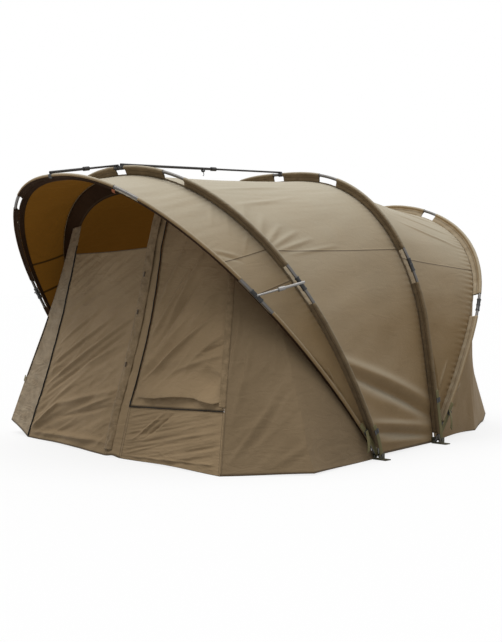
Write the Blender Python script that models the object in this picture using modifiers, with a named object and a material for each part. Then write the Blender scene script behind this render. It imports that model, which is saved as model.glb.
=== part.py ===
"""Pram-hood bivvy tent: four arched ribs on two pairs of ground hubs, sleeved canopy bays, zipped front infill.

Metres, +Z up, the doors face -Y. Everything is laid out from the axis of the front hub pins, and the whole
tent is then moved so that the origin lies on the ground under the middle of its outline.
"""

from math import cos, pi, radians, sin

import bmesh
import bpy
import numpy as np
from mathutils import Matrix, Vector

CLEAR = 0.0003  # running gap between neighbouring pieces

# Poles and sleeves
POLE_RADIUS = 0.0095
SLEEVE_BORE = 0.0110
SLEEVE_CLOTH = 0.0015
WEB_HEIGHT = 0.055  # from the pole's centre down to the canopy seam
WEB_HALF_GAP = 0.0022
HOOD_TAIL = 0.030  # the same on the hood rib, whose sleeve hugs the rim
SLEEVE_FOOT_RADIUS = 0.200  # how far from the hub a sleeve begins
SIDE_RUNS = 16  # straight runs from foot to crown
BEND_WEIGHT = 1.0  # how much closer the stations stand where an arch bends
HEM_STRIP = 0.012  # web left standing below a cut-out

# Hubs
PIN_HEIGHT = 0.026
PIN_RADIUS = 0.004
PIN_HEAD_RADIUS = 0.0075
PIN_HEAD = 0.004
HUB_PLATE = 0.006
HUB_EAR = 0.004
HUB_EAR_TOP = 0.040
HUB_HALF_WIDTH = 0.0325
HUB_HALF_DEPTH = 0.025
HUB_LUG = 0.045  # how far the plate runs out past the ears, for its peg
PEG_HOLE_RADIUS = 0.006
PIVOT_PITCH = 0.028  # between the two ribs that share a pin
LEG_HEEL = 0.012  # pole past the pin
FRONT_HUB_X = 1.190
REAR_HUB_X = 1.033
REAR_HUB_Y = 0.805

# Connectors, where a leg meets its crown pole
CONNECTOR_RADIUS = 0.0135
CONNECTOR_BORE = 0.0100
CONNECTOR_LENGTH = 0.090
POLE_JOINT_GAP = 0.001

# Cloth
CLOTH = 0.002
SEAM_GAP = 0.0010
SEAM_DROP = 0.0024  # from the bottom of a web to the edge of its canopy bay
HEM_HEIGHT = 0.0015
FACING_OUTER = 0.0597  # inset of the front facing from the main front rib's pole
FACING_INNER = 0.165
INFILL_LAP = 0.0015  # how far the infill's top edge laps over the facing's inner edge
INFILL_AHEAD = 0.0025  # between the middles of the two cloths
DOOR_INSET = 0.176
EDGE_FLAT = 0.0004  # drawn in from a seam between panels that lie nearly in line
EDGE_BENT = 0.00095  # and from one where they meet at a corner
EDGE_DOOR = 0.001
BAY_SAG = 0.015

# Bars
BAR_RADIUS = 0.008
BAR_BORE = 0.0064
BAR_INNER_RADIUS = 0.006
BAR_COLLAR_RADIUS = 0.0125
BAR_COLLAR = 0.040
BAR_OVERLAP = 0.160
BAR_SIDE_STEP = 0.020  # the ridge bars pass either side of the crown's middle
BAR_SEAT = 0.0004
SLEEVE_FLAT = 0.0011  # how far the flats of a sleeve lie inside its round
POLE_FLAT = 0.0007  # and those of a pole
BAR_OUTER_SHARE = 0.56
BRACE_OVERLAP = 0.060

# Small parts
STRAP_WIDTH = 0.025
STRAP_CLOTH = 0.002
STRAP_REACH = 0.190
STRAP_LOW = 0.008
SLIDER_LENGTH = 0.024
SLIDER_WIDTH = 0.010
SLIDER_DEPTH = 0.005
SLIDER_STAND_OFF = 0.61  # of its own and the cloth's thickness, from the cloth's middle

CUT_OVERRUN = 0.010
OLIVE = (0.24, 0.19, 0.11)
SLEEVE_BROWN = (0.12, 0.09, 0.05)
BLACK = (0.02, 0.02, 0.02)
STEEL = (0.55, 0.56, 0.58)
GUNMETAL = (0.10, 0.10, 0.11)
WEBBING = (0.16, 0.19, 0.10)

# Each rib is a plane arch about its hub pin. lean tips it to the front, crown is its height along the plane,
# bulge how far it swells out past its feet, and the powers shape its shoulders and the run to its feet.
RIBS = {
    "rib_1": {
        "lean": radians(41.7),
        "crown": 2.155,
        "bulge": 0.014,
        "foot": FRONT_HUB_X - PIVOT_PITCH / 2,
        "hub_y": 0.0,
        "belly_share": 0.101,
        "side_power": 2.293,
        "crown_power": 1.918,
        "foot_power": 2.0,
        "web": HOOD_TAIL,
        "joint_radius": 1.220,
    },
    "rib_2": {
        "lean": radians(29.6),
        "crown": 1.937,
        "bulge": 0.030,
        "foot": FRONT_HUB_X + PIVOT_PITCH / 2,
        "hub_y": 0.0,
        "belly_share": 0.109,
        "side_power": 2.146,
        "crown_power": 2.534,
        "foot_power": 2.0,
        "web": WEB_HEIGHT,
        "joint_radius": 1.190,
    },
    "rib_3": {
        "lean": radians(13.0),
        "crown": 1.771,
        "bulge": 0.023,
        "foot": REAR_HUB_X + PIVOT_PITCH / 2,
        "hub_y": REAR_HUB_Y,
        "belly_share": 0.437,
        "side_power": 2.870,
        "crown_power": 1.885,
        "foot_power": 2.15,
        "web": WEB_HEIGHT,
        "joint_radius": 1.100,
    },
    "rib_4": {
        "lean": radians(-27.9),
        "crown": 1.769,
        "bulge": 0.033,
        "foot": REAR_HUB_X - PIVOT_PITCH / 2,
        "hub_y": REAR_HUB_Y,
        "belly_share": 0.287,
        "side_power": 1.767,
        "crown_power": 3.165,
        "foot_power": 1.778,
        "web": WEB_HEIGHT,
        "joint_radius": 1.020,
    },
}

# Sleeve cut-outs: distance from the hub, half length along the pole. A centre one sits on the crown.
WINDOWS = {
    "rib_1": ((1.220, 0.130), (2.000, 0.080)),
    "rib_2": ((1.190, 0.130), (1.860, 0.080), ("centre", 0.045)),
    "rib_3": ((1.100, 0.115), (1.730, 0.075), ("centre", 0.045)),
    "rib_4": ((1.020, 0.085), (1.700, 0.065)),
}

# Ground points of the front infill and the rear wall, pegged by hand and so not quite alike left and right
HUB_CORNER = (1.125, -0.036)
PEG_WING_LEFT = (-1.330, -0.780)
PEG_FRONT_LEFT = (-1.010, -0.960)
POST_FOOT_LEFT = (-0.050, -1.035)
POST_FOOT_RIGHT = (0.100, -1.045)
PEG_FRONT_RIGHT = (0.990, -1.100)
PEG_WING_RIGHT = (1.330, -0.720)
PEG_REAR_SIDE = (0.820, 1.530)
PEG_REAR_BACK = (0.560, 2.020)
REAR_HUB_CORNER = (0.975, 0.850)

# Where the infill's seams meet the front facing: distance from the hub, or half width on the crown
SEAM_HUB_RADIUS = 0.110
SEAM_WING_RADIUS = 1.500
SEAM_POST_RADIUS = 1.580
SEAM_SIDE_RADIUS = 1.420
SEAM_SIDE_WING_RADIUS = 1.300
POST_TOP_LEFT = 0.300
POST_TOP_RIGHT = 0.400

DOOR_TOP_LEFT = 1.186  # height of the lowered door's free edge at its two sides
DOOR_TOP_RIGHT = 1.215
FLAP_FOOT = 0.305  # height of the closed door's bottom zip
FLAP_ZIP_GAP = 0.004
FOLD_DEPTH = 0.009
FOLDS_DOWN = 1.7  # creases counted down a door, and across it
FOLDS_ACROSS = 1.1
FLAP_FOLD_SHARE = 0.6  # how deep they are on the closed door
SWAG_DEPTH = 0.018
SWAG_SHARE = 0.80  # how far down the closed door its loose swag begins
WALL_FLARE = 0.060
WALL_CORNER_SHARES = (0.0, 0.20, 0.36, 0.64, 0.80, 1.0)  # of the last rib, where the rear pegs pull
ROUND_STEPS = 16
BAR_STEPS = 12
SHARE_STEP = 0.002  # for taking an arch's direction
SLEEVE_ANGLES = (-145, -97, -48, 0, 48, 97, 145)
SMOOTH_ANGLE = radians(40)


def clear_scene():
    for obj in list(bpy.data.objects):
        bpy.data.objects.remove(obj, do_unlink=True)


def collection(name):
    made = bpy.data.collections.new(name)
    bpy.context.scene.collection.children.link(made)
    return made


def material(name, colour, roughness=0.8, metallic=0.0):
    made = bpy.data.materials.new(name)
    made.use_nodes = True
    shader = made.node_tree.nodes["Principled BSDF"]
    shader.inputs["Base Color"].default_value = (*colour, 1.0)
    shader.inputs["Roughness"].default_value = roughness
    shader.inputs["Metallic"].default_value = metallic
    return made


def finish(obj, colour, roughness=0.8, metallic=0.0):
    """Gives a piece its own material and puts it in the tent's collection."""
    obj.data.materials.clear()
    obj.data.materials.append(material(f"{obj.name}_finish", colour, roughness, metallic))
    if obj.name not in tent.objects:
        tent.objects.link(obj)
    return obj


def new_mesh_object(name, mesh_data):
    mesh = bpy.data.meshes.new(name)
    mesh_data.to_mesh(mesh)
    mesh_data.free()
    return bpy.data.objects.new(name, mesh)


# The arches


def half_width(rib, radius):
    belly = rib["belly_share"] * rib["crown"]
    widest = rib["foot"] + rib["bulge"]
    if radius < belly:
        return widest - rib["bulge"] * ((belly - radius) / belly) ** rib["foot_power"]
    rise = (radius - belly) / (rib["crown"] - belly)
    return widest * max(0.0, 1 - rise ** rib["crown_power"]) ** (1 / rib["side_power"])


def trace(rib, count=400):
    """Lays the arch out as straight runs between stations, closer together where it bends."""
    crown = rib["crown"]
    radii = [crown * (1 - (i / count) ** 2) for i in range(count + 1)]
    side = np.array([(half_width(rib, radius), radius) for radius in radii])
    steps = np.diff(side, axis=0)
    lengths = np.linalg.norm(steps, axis=1)
    headings = np.unwrap(np.arctan2(-steps[:, 1], steps[:, 0]))
    turns = np.abs(np.diff(headings, prepend=headings[0]))
    weight = np.concatenate([[0.0], np.cumsum(lengths / lengths.sum() + BEND_WEIGHT * turns / turns.sum())])
    foot = float(np.interp(-SLEEVE_FOOT_RADIUS, -side[:, 1], weight))
    marks = np.interp(np.linspace(0, foot, SIDE_RUNS - 1), weight, np.arange(count + 1))
    half = [[np.interp(mark, np.arange(count + 1), side[:, k]) for k in (0, 1)] for mark in marks]
    half += [[half_width(rib, SEAM_HUB_RADIUS), SEAM_HUB_RADIUS], [rib["foot"], 0.0]]
    points = np.array([(-x, r) for x, r in reversed(half)] + half[1:])
    shares = np.concatenate([[0.0], np.cumsum(np.linalg.norm(np.diff(points, axis=0), axis=1))])
    rib["length"] = float(shares[-1])
    rib["points"] = points
    rib["shares"] = shares / shares[-1]
    runs = rib["shares"][:-1] + np.diff(rib["shares"]) / 2
    low = int(np.argmin(np.abs(runs - share_at(rib, rib["joint_radius"], -1))))
    rib["joint"] = float(runs[low])


def stations(rib, skip=0):
    """The shares of the arch's stations, leaving out this many at each foot."""
    return [float(share) for share in rib["shares"][skip:len(rib["shares"]) - skip]]


def in_plane(rib, share):
    """The point at this share of the arch, and its direction, in the arch's own plane."""
    share = min(max(share, 0.0), 1.0)
    low, high = max(share - SHARE_STEP, 0.0), min(share + SHARE_STEP, 1.0)
    here, before, after = (
        np.array([np.interp(s, rib["shares"], rib["points"][:, k]) for k in (0, 1)]) for s in (share, low, high)
    )
    along = (after - before) / np.linalg.norm(after - before)
    return here, along


def rib_at(rib, share, inset=0.0, ahead=0.0):
    here, along = in_plane(rib, share)
    x, radius = here + inset * np.array([along[1], -along[0]])
    lean = rib["lean"]
    return Vector((
        x,
        rib["hub_y"] - radius * sin(lean) - ahead * cos(lean),
        PIN_HEIGHT + radius * cos(lean) - ahead * sin(lean),
    ))


def share_at(rib, radius, side=1):
    """The share of the arch that lies this far from its hub, on the right for side 1 and the left for -1."""
    half = len(rib["points"]) // 2
    left = float(np.interp(radius, rib["points"][: half + 1, 1], rib["shares"][: half + 1]))
    return left if side < 0 else 1 - left


def share_at_x(rib, x):
    return float(np.interp(x, rib["points"][:, 0], rib["shares"]))


def axes_at(rib, share):
    """A turn that takes X along the pole, Y inwards and Z to the plane's front."""
    along = (rib_at(rib, share + SHARE_STEP) - rib_at(rib, share - SHARE_STEP)).normalized()
    inwards = (rib_at(rib, share, inset=WEB_HEIGHT) - rib_at(rib, share)).normalized()
    return Matrix((along, inwards, along.cross(inwards))).transposed().to_4x4()


# Shapes


def surface(name, columns, rows, place, thickness=CLOTH):
    """A grid laid over a curved sheet, thickened to both sides."""
    grid = bmesh.new()
    bmesh.ops.create_grid(grid, x_segments=columns, y_segments=rows, size=1)
    for vertex in grid.verts:
        vertex.co = place((vertex.co.x + 1) / 2, (vertex.co.y + 1) / 2)
    obj = new_mesh_object(name, grid)
    wall = obj.modifiers.new("cloth", "SOLIDIFY")
    wall.thickness = thickness
    wall.offset = 0
    wall.use_even_offset = True
    return obj


def rod(name, points, radius, resolution=2):
    """A pole along these points, as a mesh with its caps welded."""
    data = bpy.data.curves.new(name, "CURVE")
    data.dimensions = "3D"
    data.bevel_depth = radius
    data.bevel_resolution = resolution
    data.use_fill_caps = True
    line = data.splines.new("POLY")
    line.points.add(len(points) - 1)
    for slot, point in zip(line.points, points):
        slot.co = (*point, 1.0)
    curve = bpy.data.objects.new(name + "_path", data)
    bpy.context.scene.collection.objects.link(curve)
    graph = bpy.context.evaluated_depsgraph_get()
    mesh = bpy.data.meshes.new_from_object(curve.evaluated_get(graph))
    bpy.data.objects.remove(curve, do_unlink=True)
    welded = bmesh.new()
    welded.from_mesh(mesh)
    bmesh.ops.remove_doubles(welded, verts=welded.verts, dist=CLEAR / 10)
    welded.to_mesh(mesh)
    welded.free()
    mesh.shade_smooth()
    mesh.set_sharp_from_angle(angle=SMOOTH_ANGLE)
    return bpy.data.objects.new(name, mesh)


def turned(name, rows, start, end, steps=ROUND_STEPS, closed=False):
    """A profile of (radius, distance) pairs turned about the line from start to end."""
    profile = bmesh.new()
    points = [profile.verts.new((radius, 0, along)) for radius, along in rows]
    for a, b in zip(points, points[1:]):
        profile.edges.new((a, b))
    if closed:
        profile.edges.new((points[-1], points[0]))
    obj = new_mesh_object(name, profile)
    screw = obj.modifiers.new("turn", "SCREW")
    screw.axis = "Z"
    screw.angle = 2 * pi
    screw.steps = steps
    screw.render_steps = steps
    screw.use_merge_vertices = True
    screw.merge_threshold = 0.0001
    screw.use_smooth_shade = True
    direction = Vector(end) - Vector(start)
    obj.location = start
    obj.rotation_euler = direction.to_track_quat("Z", "Y").to_euler()
    return obj


def ring_rows(outer, inner, start, end):
    return [(outer, end), (outer, start), (inner, start), (inner, end)]


def cutter(name, kind, size, place):
    """A box or a cylinder along X that is cut away from a piece."""
    mesh = bmesh.new()
    if kind == "box":
        bmesh.ops.create_cube(mesh, size=1)
        bmesh.ops.scale(mesh, vec=size, verts=mesh.verts)
    else:
        length, radius = size
        bmesh.ops.create_cone(mesh, cap_ends=True, segments=ROUND_STEPS, radius1=radius, radius2=radius, depth=length)
        bmesh.ops.rotate(mesh, verts=mesh.verts, matrix=Matrix.Rotation(pi / 2, 3, "Y"))
    obj = new_mesh_object(name, mesh)
    obj.matrix_world = place
    obj.hide_render = True
    obj.display_type = "WIRE"
    cutters.objects.link(obj)
    return obj


def cut(obj, *tools):
    for tool in tools:
        modifier = obj.modifiers.new(tool.name, "BOOLEAN")
        modifier.operation = "DIFFERENCE"
        modifier.solver = "EXACT"
        modifier.object = tool
    return obj


def outline(name, points, thickness):
    """A flat outline in its own XY plane, thickened along Z."""
    data = bpy.data.curves.new(name, "CURVE")
    data.dimensions = "2D"
    data.fill_mode = "BOTH"
    data.extrude = thickness / 2
    line = data.splines.new("POLY")
    line.points.add(len(points) - 1)
    for slot, (x, y) in zip(line.points, points):
        slot.co = (x, y, 0, 1)
    line.use_cyclic_u = True
    curve = bpy.data.objects.new(name + "_outline", data)
    bpy.context.scene.collection.objects.link(curve)
    graph = bpy.context.evaluated_depsgraph_get()
    mesh = bpy.data.meshes.new_from_object(curve.evaluated_get(graph))
    bpy.data.objects.remove(curve, do_unlink=True)
    welded = bmesh.new()
    welded.from_mesh(mesh)
    bmesh.ops.remove_doubles(welded, verts=welded.verts, dist=CLEAR / 10)
    welded.to_mesh(mesh)
    welded.free()
    return bpy.data.objects.new(name, mesh)


# Frame pieces


def side_name(side):
    return "right" if side > 0 else "left"


def hub(name, x, y, side):
    """A plate with two ears for the pin and a lug with a peg hole on its outer side."""
    half, ear = HUB_HALF_WIDTH, HUB_EAR
    points = [
        (-half, 0), (half + HUB_LUG, 0), (half + HUB_LUG, HUB_PLATE), (half, HUB_PLATE),
        (half, HUB_EAR_TOP), (half - ear, HUB_EAR_TOP), (half - ear, HUB_PLATE),
        (-half + ear, HUB_PLATE), (-half + ear, HUB_EAR_TOP), (-half, HUB_EAR_TOP),
    ]
    obj = outline(name, [(px * side, pz) for px, pz in points], 2 * HUB_HALF_DEPTH)
    if side < 0:
        obj.data.flip_normals()
    stand = Matrix.Translation((x * side, y, 0)) @ Matrix.Rotation(pi / 2, 4, "X")
    obj.matrix_world = stand
    pin_line = Matrix.Translation((x * side, y, PIN_HEIGHT))
    bore = cutter(f"{name}_bore", "bar", (2 * half + CUT_OVERRUN, PIN_RADIUS + CLEAR), pin_line)
    peg_x = (x + half + HUB_LUG / 2) * side
    upright = Matrix.Translation((peg_x, y, HUB_PLATE / 2)) @ Matrix.Rotation(pi / 2, 4, "Y")
    peg = cutter(f"{name}_peg_hole", "bar", (HUB_PLATE + CUT_OVERRUN, PEG_HOLE_RADIUS), upright)
    cut(obj, bore, peg)
    return finish(obj, BLACK, roughness=0.5)


def hub_pin(name, x, y, side):
    reach = HUB_HALF_WIDTH + CLEAR
    rows = [
        (0, 2 * reach + PIN_HEAD), (PIN_HEAD_RADIUS, 2 * reach + PIN_HEAD), (PIN_HEAD_RADIUS, 2 * reach),
        (PIN_RADIUS, 2 * reach), (PIN_RADIUS, 0), (PIN_HEAD_RADIUS, 0), (PIN_HEAD_RADIUS, -PIN_HEAD),
        (0, -PIN_HEAD),
    ]
    start = Vector((side * (x - reach), y, PIN_HEIGHT))
    end = Vector((side * (x + reach), y, PIN_HEIGHT))
    return finish(turned(name, rows, start, end), STEEL, roughness=0.35, metallic=0.9)


def rib_poles(name):
    """Two legs, the crown pole between them, and the collars that join them inside the lower cut-outs."""
    rib = RIBS[name]
    gap = POLE_JOINT_GAP / 2 / rib["length"]
    for side in (-1, 1):
        joint = rib["joint"] if side < 0 else 1 - rib["joint"]
        inner = joint + side * gap
        shares = [share for share in stations(rib)[::-side] if (share - inner) * side > 0] + [inner]
        points = [rib_at(rib, share) for share in shares]
        heel = points[0] + (points[0] - points[1]).normalized() * LEG_HEEL
        leg = rod(f"{name}_leg_{side_name(side)}", [heel, *points[1:]], POLE_RADIUS)
        pin_line = Matrix.Translation((side * rib["foot"], rib["hub_y"], PIN_HEIGHT))
        width = 2 * POLE_RADIUS + CUT_OVERRUN
        bore = cutter(f"{leg.name}_bore", "bar", (width, PIN_RADIUS + CLEAR), pin_line)
        finish(cut(leg, bore), GUNMETAL, roughness=0.4, metallic=0.8)
        turn = axes_at(rib, joint)
        centre = rib_at(rib, joint)
        along = Vector(turn.col[0][:3]) * CONNECTOR_LENGTH / 2
        rows = ring_rows(CONNECTOR_RADIUS, CONNECTOR_BORE, 0, CONNECTOR_LENGTH)
        collar = turned(f"{name}_connector_{side_name(side)}", rows, centre - along, centre + along, closed=True)
        finish(collar, BLACK, roughness=0.45)
    start = rib["joint"] + gap
    shares = [start] + [share for share in stations(rib) if start < share < 1 - start] + [1 - start]
    crown = rod(f"{name}_crown_pole", [rib_at(rib, share) for share in shares], POLE_RADIUS)
    finish(crown, GUNMETAL, roughness=0.4, metallic=0.8)


def sleeve(name):
    """The pole pocket: a doubled web that stands on the canopy seam and wraps round the pole."""
    rib = RIBS[name]
    middle = SLEEVE_BORE + SLEEVE_CLOTH / 2
    angles = [radians(angle) for angle in SLEEVE_ANGLES]
    section = [(-WEB_HALF_GAP, rib["web"])]
    section += [(middle * sin(a), -middle * cos(a)) for a in angles]
    section += [(WEB_HALF_GAP, rib["web"])]
    shares = stations(rib, 2)

    def place(u, v):
        ahead, inset = section[round(v * (len(section) - 1))]
        return rib_at(rib, shares[round(u * (len(shares) - 1))], inset=inset, ahead=ahead)

    obj = surface(f"{name}_sleeve", len(shares) - 1, len(section) - 1, place, SLEEVE_CLOTH)
    depth = SLEEVE_BORE + SLEEVE_CLOTH + CUT_OVERRUN
    bottom = rib["web"] - HEM_STRIP
    for number, (radius, half) in enumerate(WINDOWS[name]):
        low = 0.5 if radius == "centre" else share_at(rib, radius, -1)
        low = rib["joint"] if number == 0 else low
        for share in sorted({low, 1 - low}):
            turn = axes_at(rib, share)
            middle_inset = (bottom - depth) / 2
            centre = rib_at(rib, share, inset=middle_inset)
            size = (2 * half, bottom + depth, 2 * (depth + WEB_HALF_GAP))
            place_at = Matrix.Translation(centre) @ turn
            cut(obj, cutter(f"{name}_window_{number}_{round(share * 100)}", "box", size, place_at))
    return finish(obj, SLEEVE_BROWN, roughness=0.9)


# Canopy


def bay(name, front, rear, skip, sag=BAY_SAG, across=5):
    """A canopy bay stretched between two ribs. With no station left out its hem runs along the ground."""
    a, b = RIBS[front], RIBS[rear]
    inset_a = a["web"] + SEAM_DROP
    inset_b = b["web"] + SEAM_DROP
    shares_a, shares_b = stations(a, skip), stations(b, skip)
    last = len(shares_a) - 1

    def place(u, v):
        station = round(u * last)
        share_a, share_b = shares_a[station], shares_b[station]
        p = rib_at(a, share_a, inset=inset_a, ahead=-SEAM_GAP)
        q = rib_at(b, share_b, inset=inset_b, ahead=SEAM_GAP)
        inwards = rib_at(a, share_a, inset=WEB_HEIGHT) - rib_at(a, share_a)
        inwards += rib_at(b, share_b, inset=WEB_HEIGHT) - rib_at(b, share_b)
        point = p.lerp(q, v) + inwards.normalized() * sag * 4 * v * (1 - v) * sin(pi * u)
        if skip == 0 and station in (0, last):
            point.z = HEM_HEIGHT
        return point

    return finish(surface(name, last, across, place), OLIVE, roughness=0.9)


def back_wall():
    """The rear wall, from the last rib's seam out to the ground."""
    rib = RIBS["rib_4"]
    shares = stations(rib, 1)
    last = len(shares) - 1
    feet = [REAR_HUB_CORNER, PEG_REAR_SIDE, PEG_REAR_BACK]
    ground = [(-x, y) for x, y in feet] + list(reversed(feet))

    def place(u, v):
        top = rib_at(rib, shares[round(u * last)], inset=rib["web"] + SEAM_DROP, ahead=-SEAM_GAP)
        x = float(np.interp(u, WALL_CORNER_SHARES, [g[0] for g in ground]))
        y = float(np.interp(u, WALL_CORNER_SHARES, [g[1] for g in ground]))
        point = top.lerp(Vector((x, y, HEM_HEIGHT)), v)
        point.y -= WALL_FLARE * sin(pi * v) * sin(pi * u)
        return point

    return finish(surface("back_wall", last, 5, place), OLIVE, roughness=0.9)


# Front infill


def infill_line(share, foot, inset=FACING_INNER - INFILL_LAP):
    """A straight line of the infill, from the front facing down to the ground."""
    top = rib_at(RIBS["rib_2"], share, inset=inset, ahead=INFILL_AHEAD)
    return top, Vector((*foot, HEM_HEIGHT))


def at_height(line, height):
    top, bottom = line
    return top.lerp(bottom, (top.z - height) / (top.z - bottom.z))


def panel(name, seams, edges, heights=None, columns=6, rows=6, relief=None, colour=OLIVE):
    """Cloth ruled between seams, each a share of the front rib and a ground point, or cut off at given heights."""
    marks = range(len(seams))

    def line_at(place):
        share = float(np.interp(place, marks, [seam[0] for seam in seams]))
        foot = [float(np.interp(place, marks, [seam[1][k] for seam in seams])) for k in (0, 1)]
        return infill_line(share, foot)

    def along_line(place, v):
        line = line_at(place)
        if heights is None:
            return line[0].lerp(line[1], v)
        ends = []
        for seam in seams:
            edge = infill_line(*seam)
            high = heights[0][len(ends)]
            ends.append(at_height(edge, high).lerp(at_height(edge, heights[1]), v))
        return ends[0].lerp(ends[1], place)

    def place(u, v):
        last = len(seams) - 1
        point = along_line(u * last, v)
        if u in (0, 1):
            inside = along_line(abs(u * last - last / columns), v)
            point += (inside - point).normalized() * edges[round(u)]
        if relief:
            point.y -= relief(u, v)
        return point

    return finish(surface(name, columns, rows, place), colour, roughness=0.9)


def door_folds(u, v):
    """Slack creases that climb to the right, fading out at every edge."""
    edge = sin(pi * u) * sin(pi * v)
    return FOLD_DEPTH * edge * sin(2 * pi * (FOLDS_DOWN * v + FOLDS_ACROSS * u))


def flap_folds(u, v):
    """The same creases, with the swag of loose cloth above the bottom zip."""
    lower = max(v - SWAG_SHARE, 0.0) / (1 - SWAG_SHARE)
    return FLAP_FOLD_SHARE * door_folds(u, v) + SWAG_DEPTH * sin(pi * u) * sin(pi * lower)


def infill_seams():
    """Each seam of the infill, as its share of the front rib and its ground point."""
    rib = RIBS["rib_2"]
    return {
        "hub_left": (share_at(rib, SEAM_HUB_RADIUS, -1), (-HUB_CORNER[0], HUB_CORNER[1])),
        "wing_left": (share_at(rib, SEAM_WING_RADIUS, -1), PEG_WING_LEFT),
        "post_left": (share_at(rib, SEAM_POST_RADIUS, -1), PEG_FRONT_LEFT),
        "centre_left": (share_at_x(rib, POST_TOP_LEFT), POST_FOOT_LEFT),
        "centre_right": (share_at_x(rib, POST_TOP_RIGHT), POST_FOOT_RIGHT),
        "side_right": (share_at(rib, SEAM_SIDE_RADIUS, 1), PEG_FRONT_RIGHT),
        "wing_right": (share_at(rib, SEAM_SIDE_WING_RADIUS, 1), PEG_WING_RIGHT),
        "hub_right": (share_at(rib, SEAM_HUB_RADIUS, 1), HUB_CORNER),
    }


def front_infill():
    rib = RIBS["rib_2"]
    seam = infill_seams()
    door_heights = ((DOOR_TOP_LEFT, DOOR_TOP_RIGHT), HEM_HEIGHT)
    sill_heights = ((FLAP_FOOT - FLAP_ZIP_GAP, FLAP_FOOT - FLAP_ZIP_GAP), HEM_HEIGHT)
    order = list(seam)
    rows = (
        ("infill_left_wing", order[0:2], (EDGE_FLAT, EDGE_BENT), None, 12, 5, None, OLIVE),
        ("infill_left_post", order[1:3], (EDGE_BENT, EDGE_FLAT), None, 2, 6, None, WEBBING),
        ("left_door_panel", order[2:4], (EDGE_DOOR, EDGE_DOOR), door_heights, 12, 10, door_folds, OLIVE),
        ("centre_post", order[3:5], (EDGE_FLAT, EDGE_FLAT), None, 1, 6, None, WEBBING),
        ("right_sill", order[4:6], (EDGE_FLAT, EDGE_FLAT), sill_heights, 8, 2, None, OLIVE),
        ("infill_right_wing", order[5:8], (EDGE_BENT, EDGE_FLAT), None, 12, 5, None, OLIVE),
    )
    for name, names, edges, heights, columns, count, relief, colour in rows:
        panel(name, [seam[key] for key in names], edges, heights, columns, count, relief, colour)
    curved_flap(seam["centre_right"], seam["side_right"])
    shares = stations(rib, 1)

    def facing(u, v):
        inset = FACING_OUTER + v * (FACING_INNER - FACING_OUTER)
        return rib_at(rib, shares[round(u * (len(shares) - 1))], inset=inset)

    finish(surface("front_facing", len(shares) - 1, 1, facing), SLEEVE_BROWN, roughness=0.9)


def curved_flap(left, right):
    """The closed door: its top follows the facing's arch and its foot is the straight bottom zip."""
    rib = RIBS["rib_2"]
    foot_left, foot_right = (at_height(infill_line(*seam, inset=DOOR_INSET), FLAP_FOOT) for seam in (left, right))
    across = (foot_right - foot_left).normalized()

    def place(u, v):
        top = rib_at(rib, left[0] + u * (right[0] - left[0]), inset=DOOR_INSET, ahead=INFILL_AHEAD)
        point = top.lerp(foot_left.lerp(foot_right, u), v)
        if u in (0, 1):
            point += across * EDGE_DOOR * (1 - 2 * u)
        point.y -= flap_folds(u, v)
        return point

    return finish(surface("right_door_panel", 12, 12, place), OLIVE, roughness=0.9)


# Bars, straps and sliders


def ridge_bars():
    """The telescopic bar from the hood crown to the front crown, and the one from there to the third crown."""
    one, two, three = RIBS["rib_1"], RIBS["rib_2"], RIBS["rib_3"]
    over_sleeve = SLEEVE_BORE + SLEEVE_CLOTH - SLEEVE_FLAT + BAR_RADIUS + BAR_SEAT
    over_inner = POLE_RADIUS - POLE_FLAT + BAR_INNER_RADIUS + BAR_SEAT
    over_pole = POLE_RADIUS - POLE_FLAT + BAR_RADIUS + CLEAR
    runs = (
        ("ridge_bar_front", one, over_sleeve, two, -BAR_SIDE_STEP, BRACE_OVERLAP),
        ("ridge_bar_rear", two, over_pole, three, BAR_SIDE_STEP, BAR_OVERLAP),
    )
    for name, front, above, rear, aside, overlap in runs:
        start, end = rib_at(front, 0.5), rib_at(rear, 0.5)
        up = Vector((1, 0, 0)).cross(end - start).normalized()
        step = Vector((aside, 0, 0))
        telescope(name, start + up * above + step, end + up * over_inner + step, BAR_OUTER_SHARE, overlap)


def telescope(name, start, end, share, overlap):
    """An outer tube with a twist-lock collar, and the inner tube that slides in it."""
    length = (end - start).length
    way = (end - start).normalized()
    tube_end = length * share
    rows = [
        (BAR_COLLAR_RADIUS, tube_end), (BAR_COLLAR_RADIUS, tube_end - BAR_COLLAR),
        (BAR_RADIUS, tube_end - BAR_COLLAR), (BAR_RADIUS, -BAR_RADIUS), (BAR_BORE, -BAR_RADIUS),
        (BAR_BORE, tube_end),
    ]
    outer = turned(f"{name}_outer", rows, start, end, BAR_STEPS, closed=True)
    inner_start = start + way * (tube_end - overlap)
    inner_length = length - tube_end + overlap + BAR_RADIUS
    inner_rows = [(0, inner_length), (BAR_INNER_RADIUS, inner_length), (BAR_INNER_RADIUS, 0), (0, 0)]
    inner = turned(f"{name}_inner", inner_rows, inner_start, end, BAR_STEPS)
    finish(outer, GUNMETAL, roughness=0.35, metallic=0.8)
    finish(inner, STEEL, roughness=0.3, metallic=0.9)


def side_braces():
    one, two = RIBS["rib_1"], RIBS["rib_2"]
    out = CONNECTOR_RADIUS + 2 * BAR_SEAT
    for side in (-1, 1):
        rear = rib_at(two, two["joint"] if side < 0 else 1 - two["joint"], inset=-out - BAR_RADIUS)
        front = rib_at(one, one["joint"] if side < 0 else 1 - one["joint"], inset=-out - BAR_INNER_RADIUS)
        telescope(f"side_brace_{side_name(side)}", rear, front, BAR_OUTER_SHARE, BRACE_OVERLAP)


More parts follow.
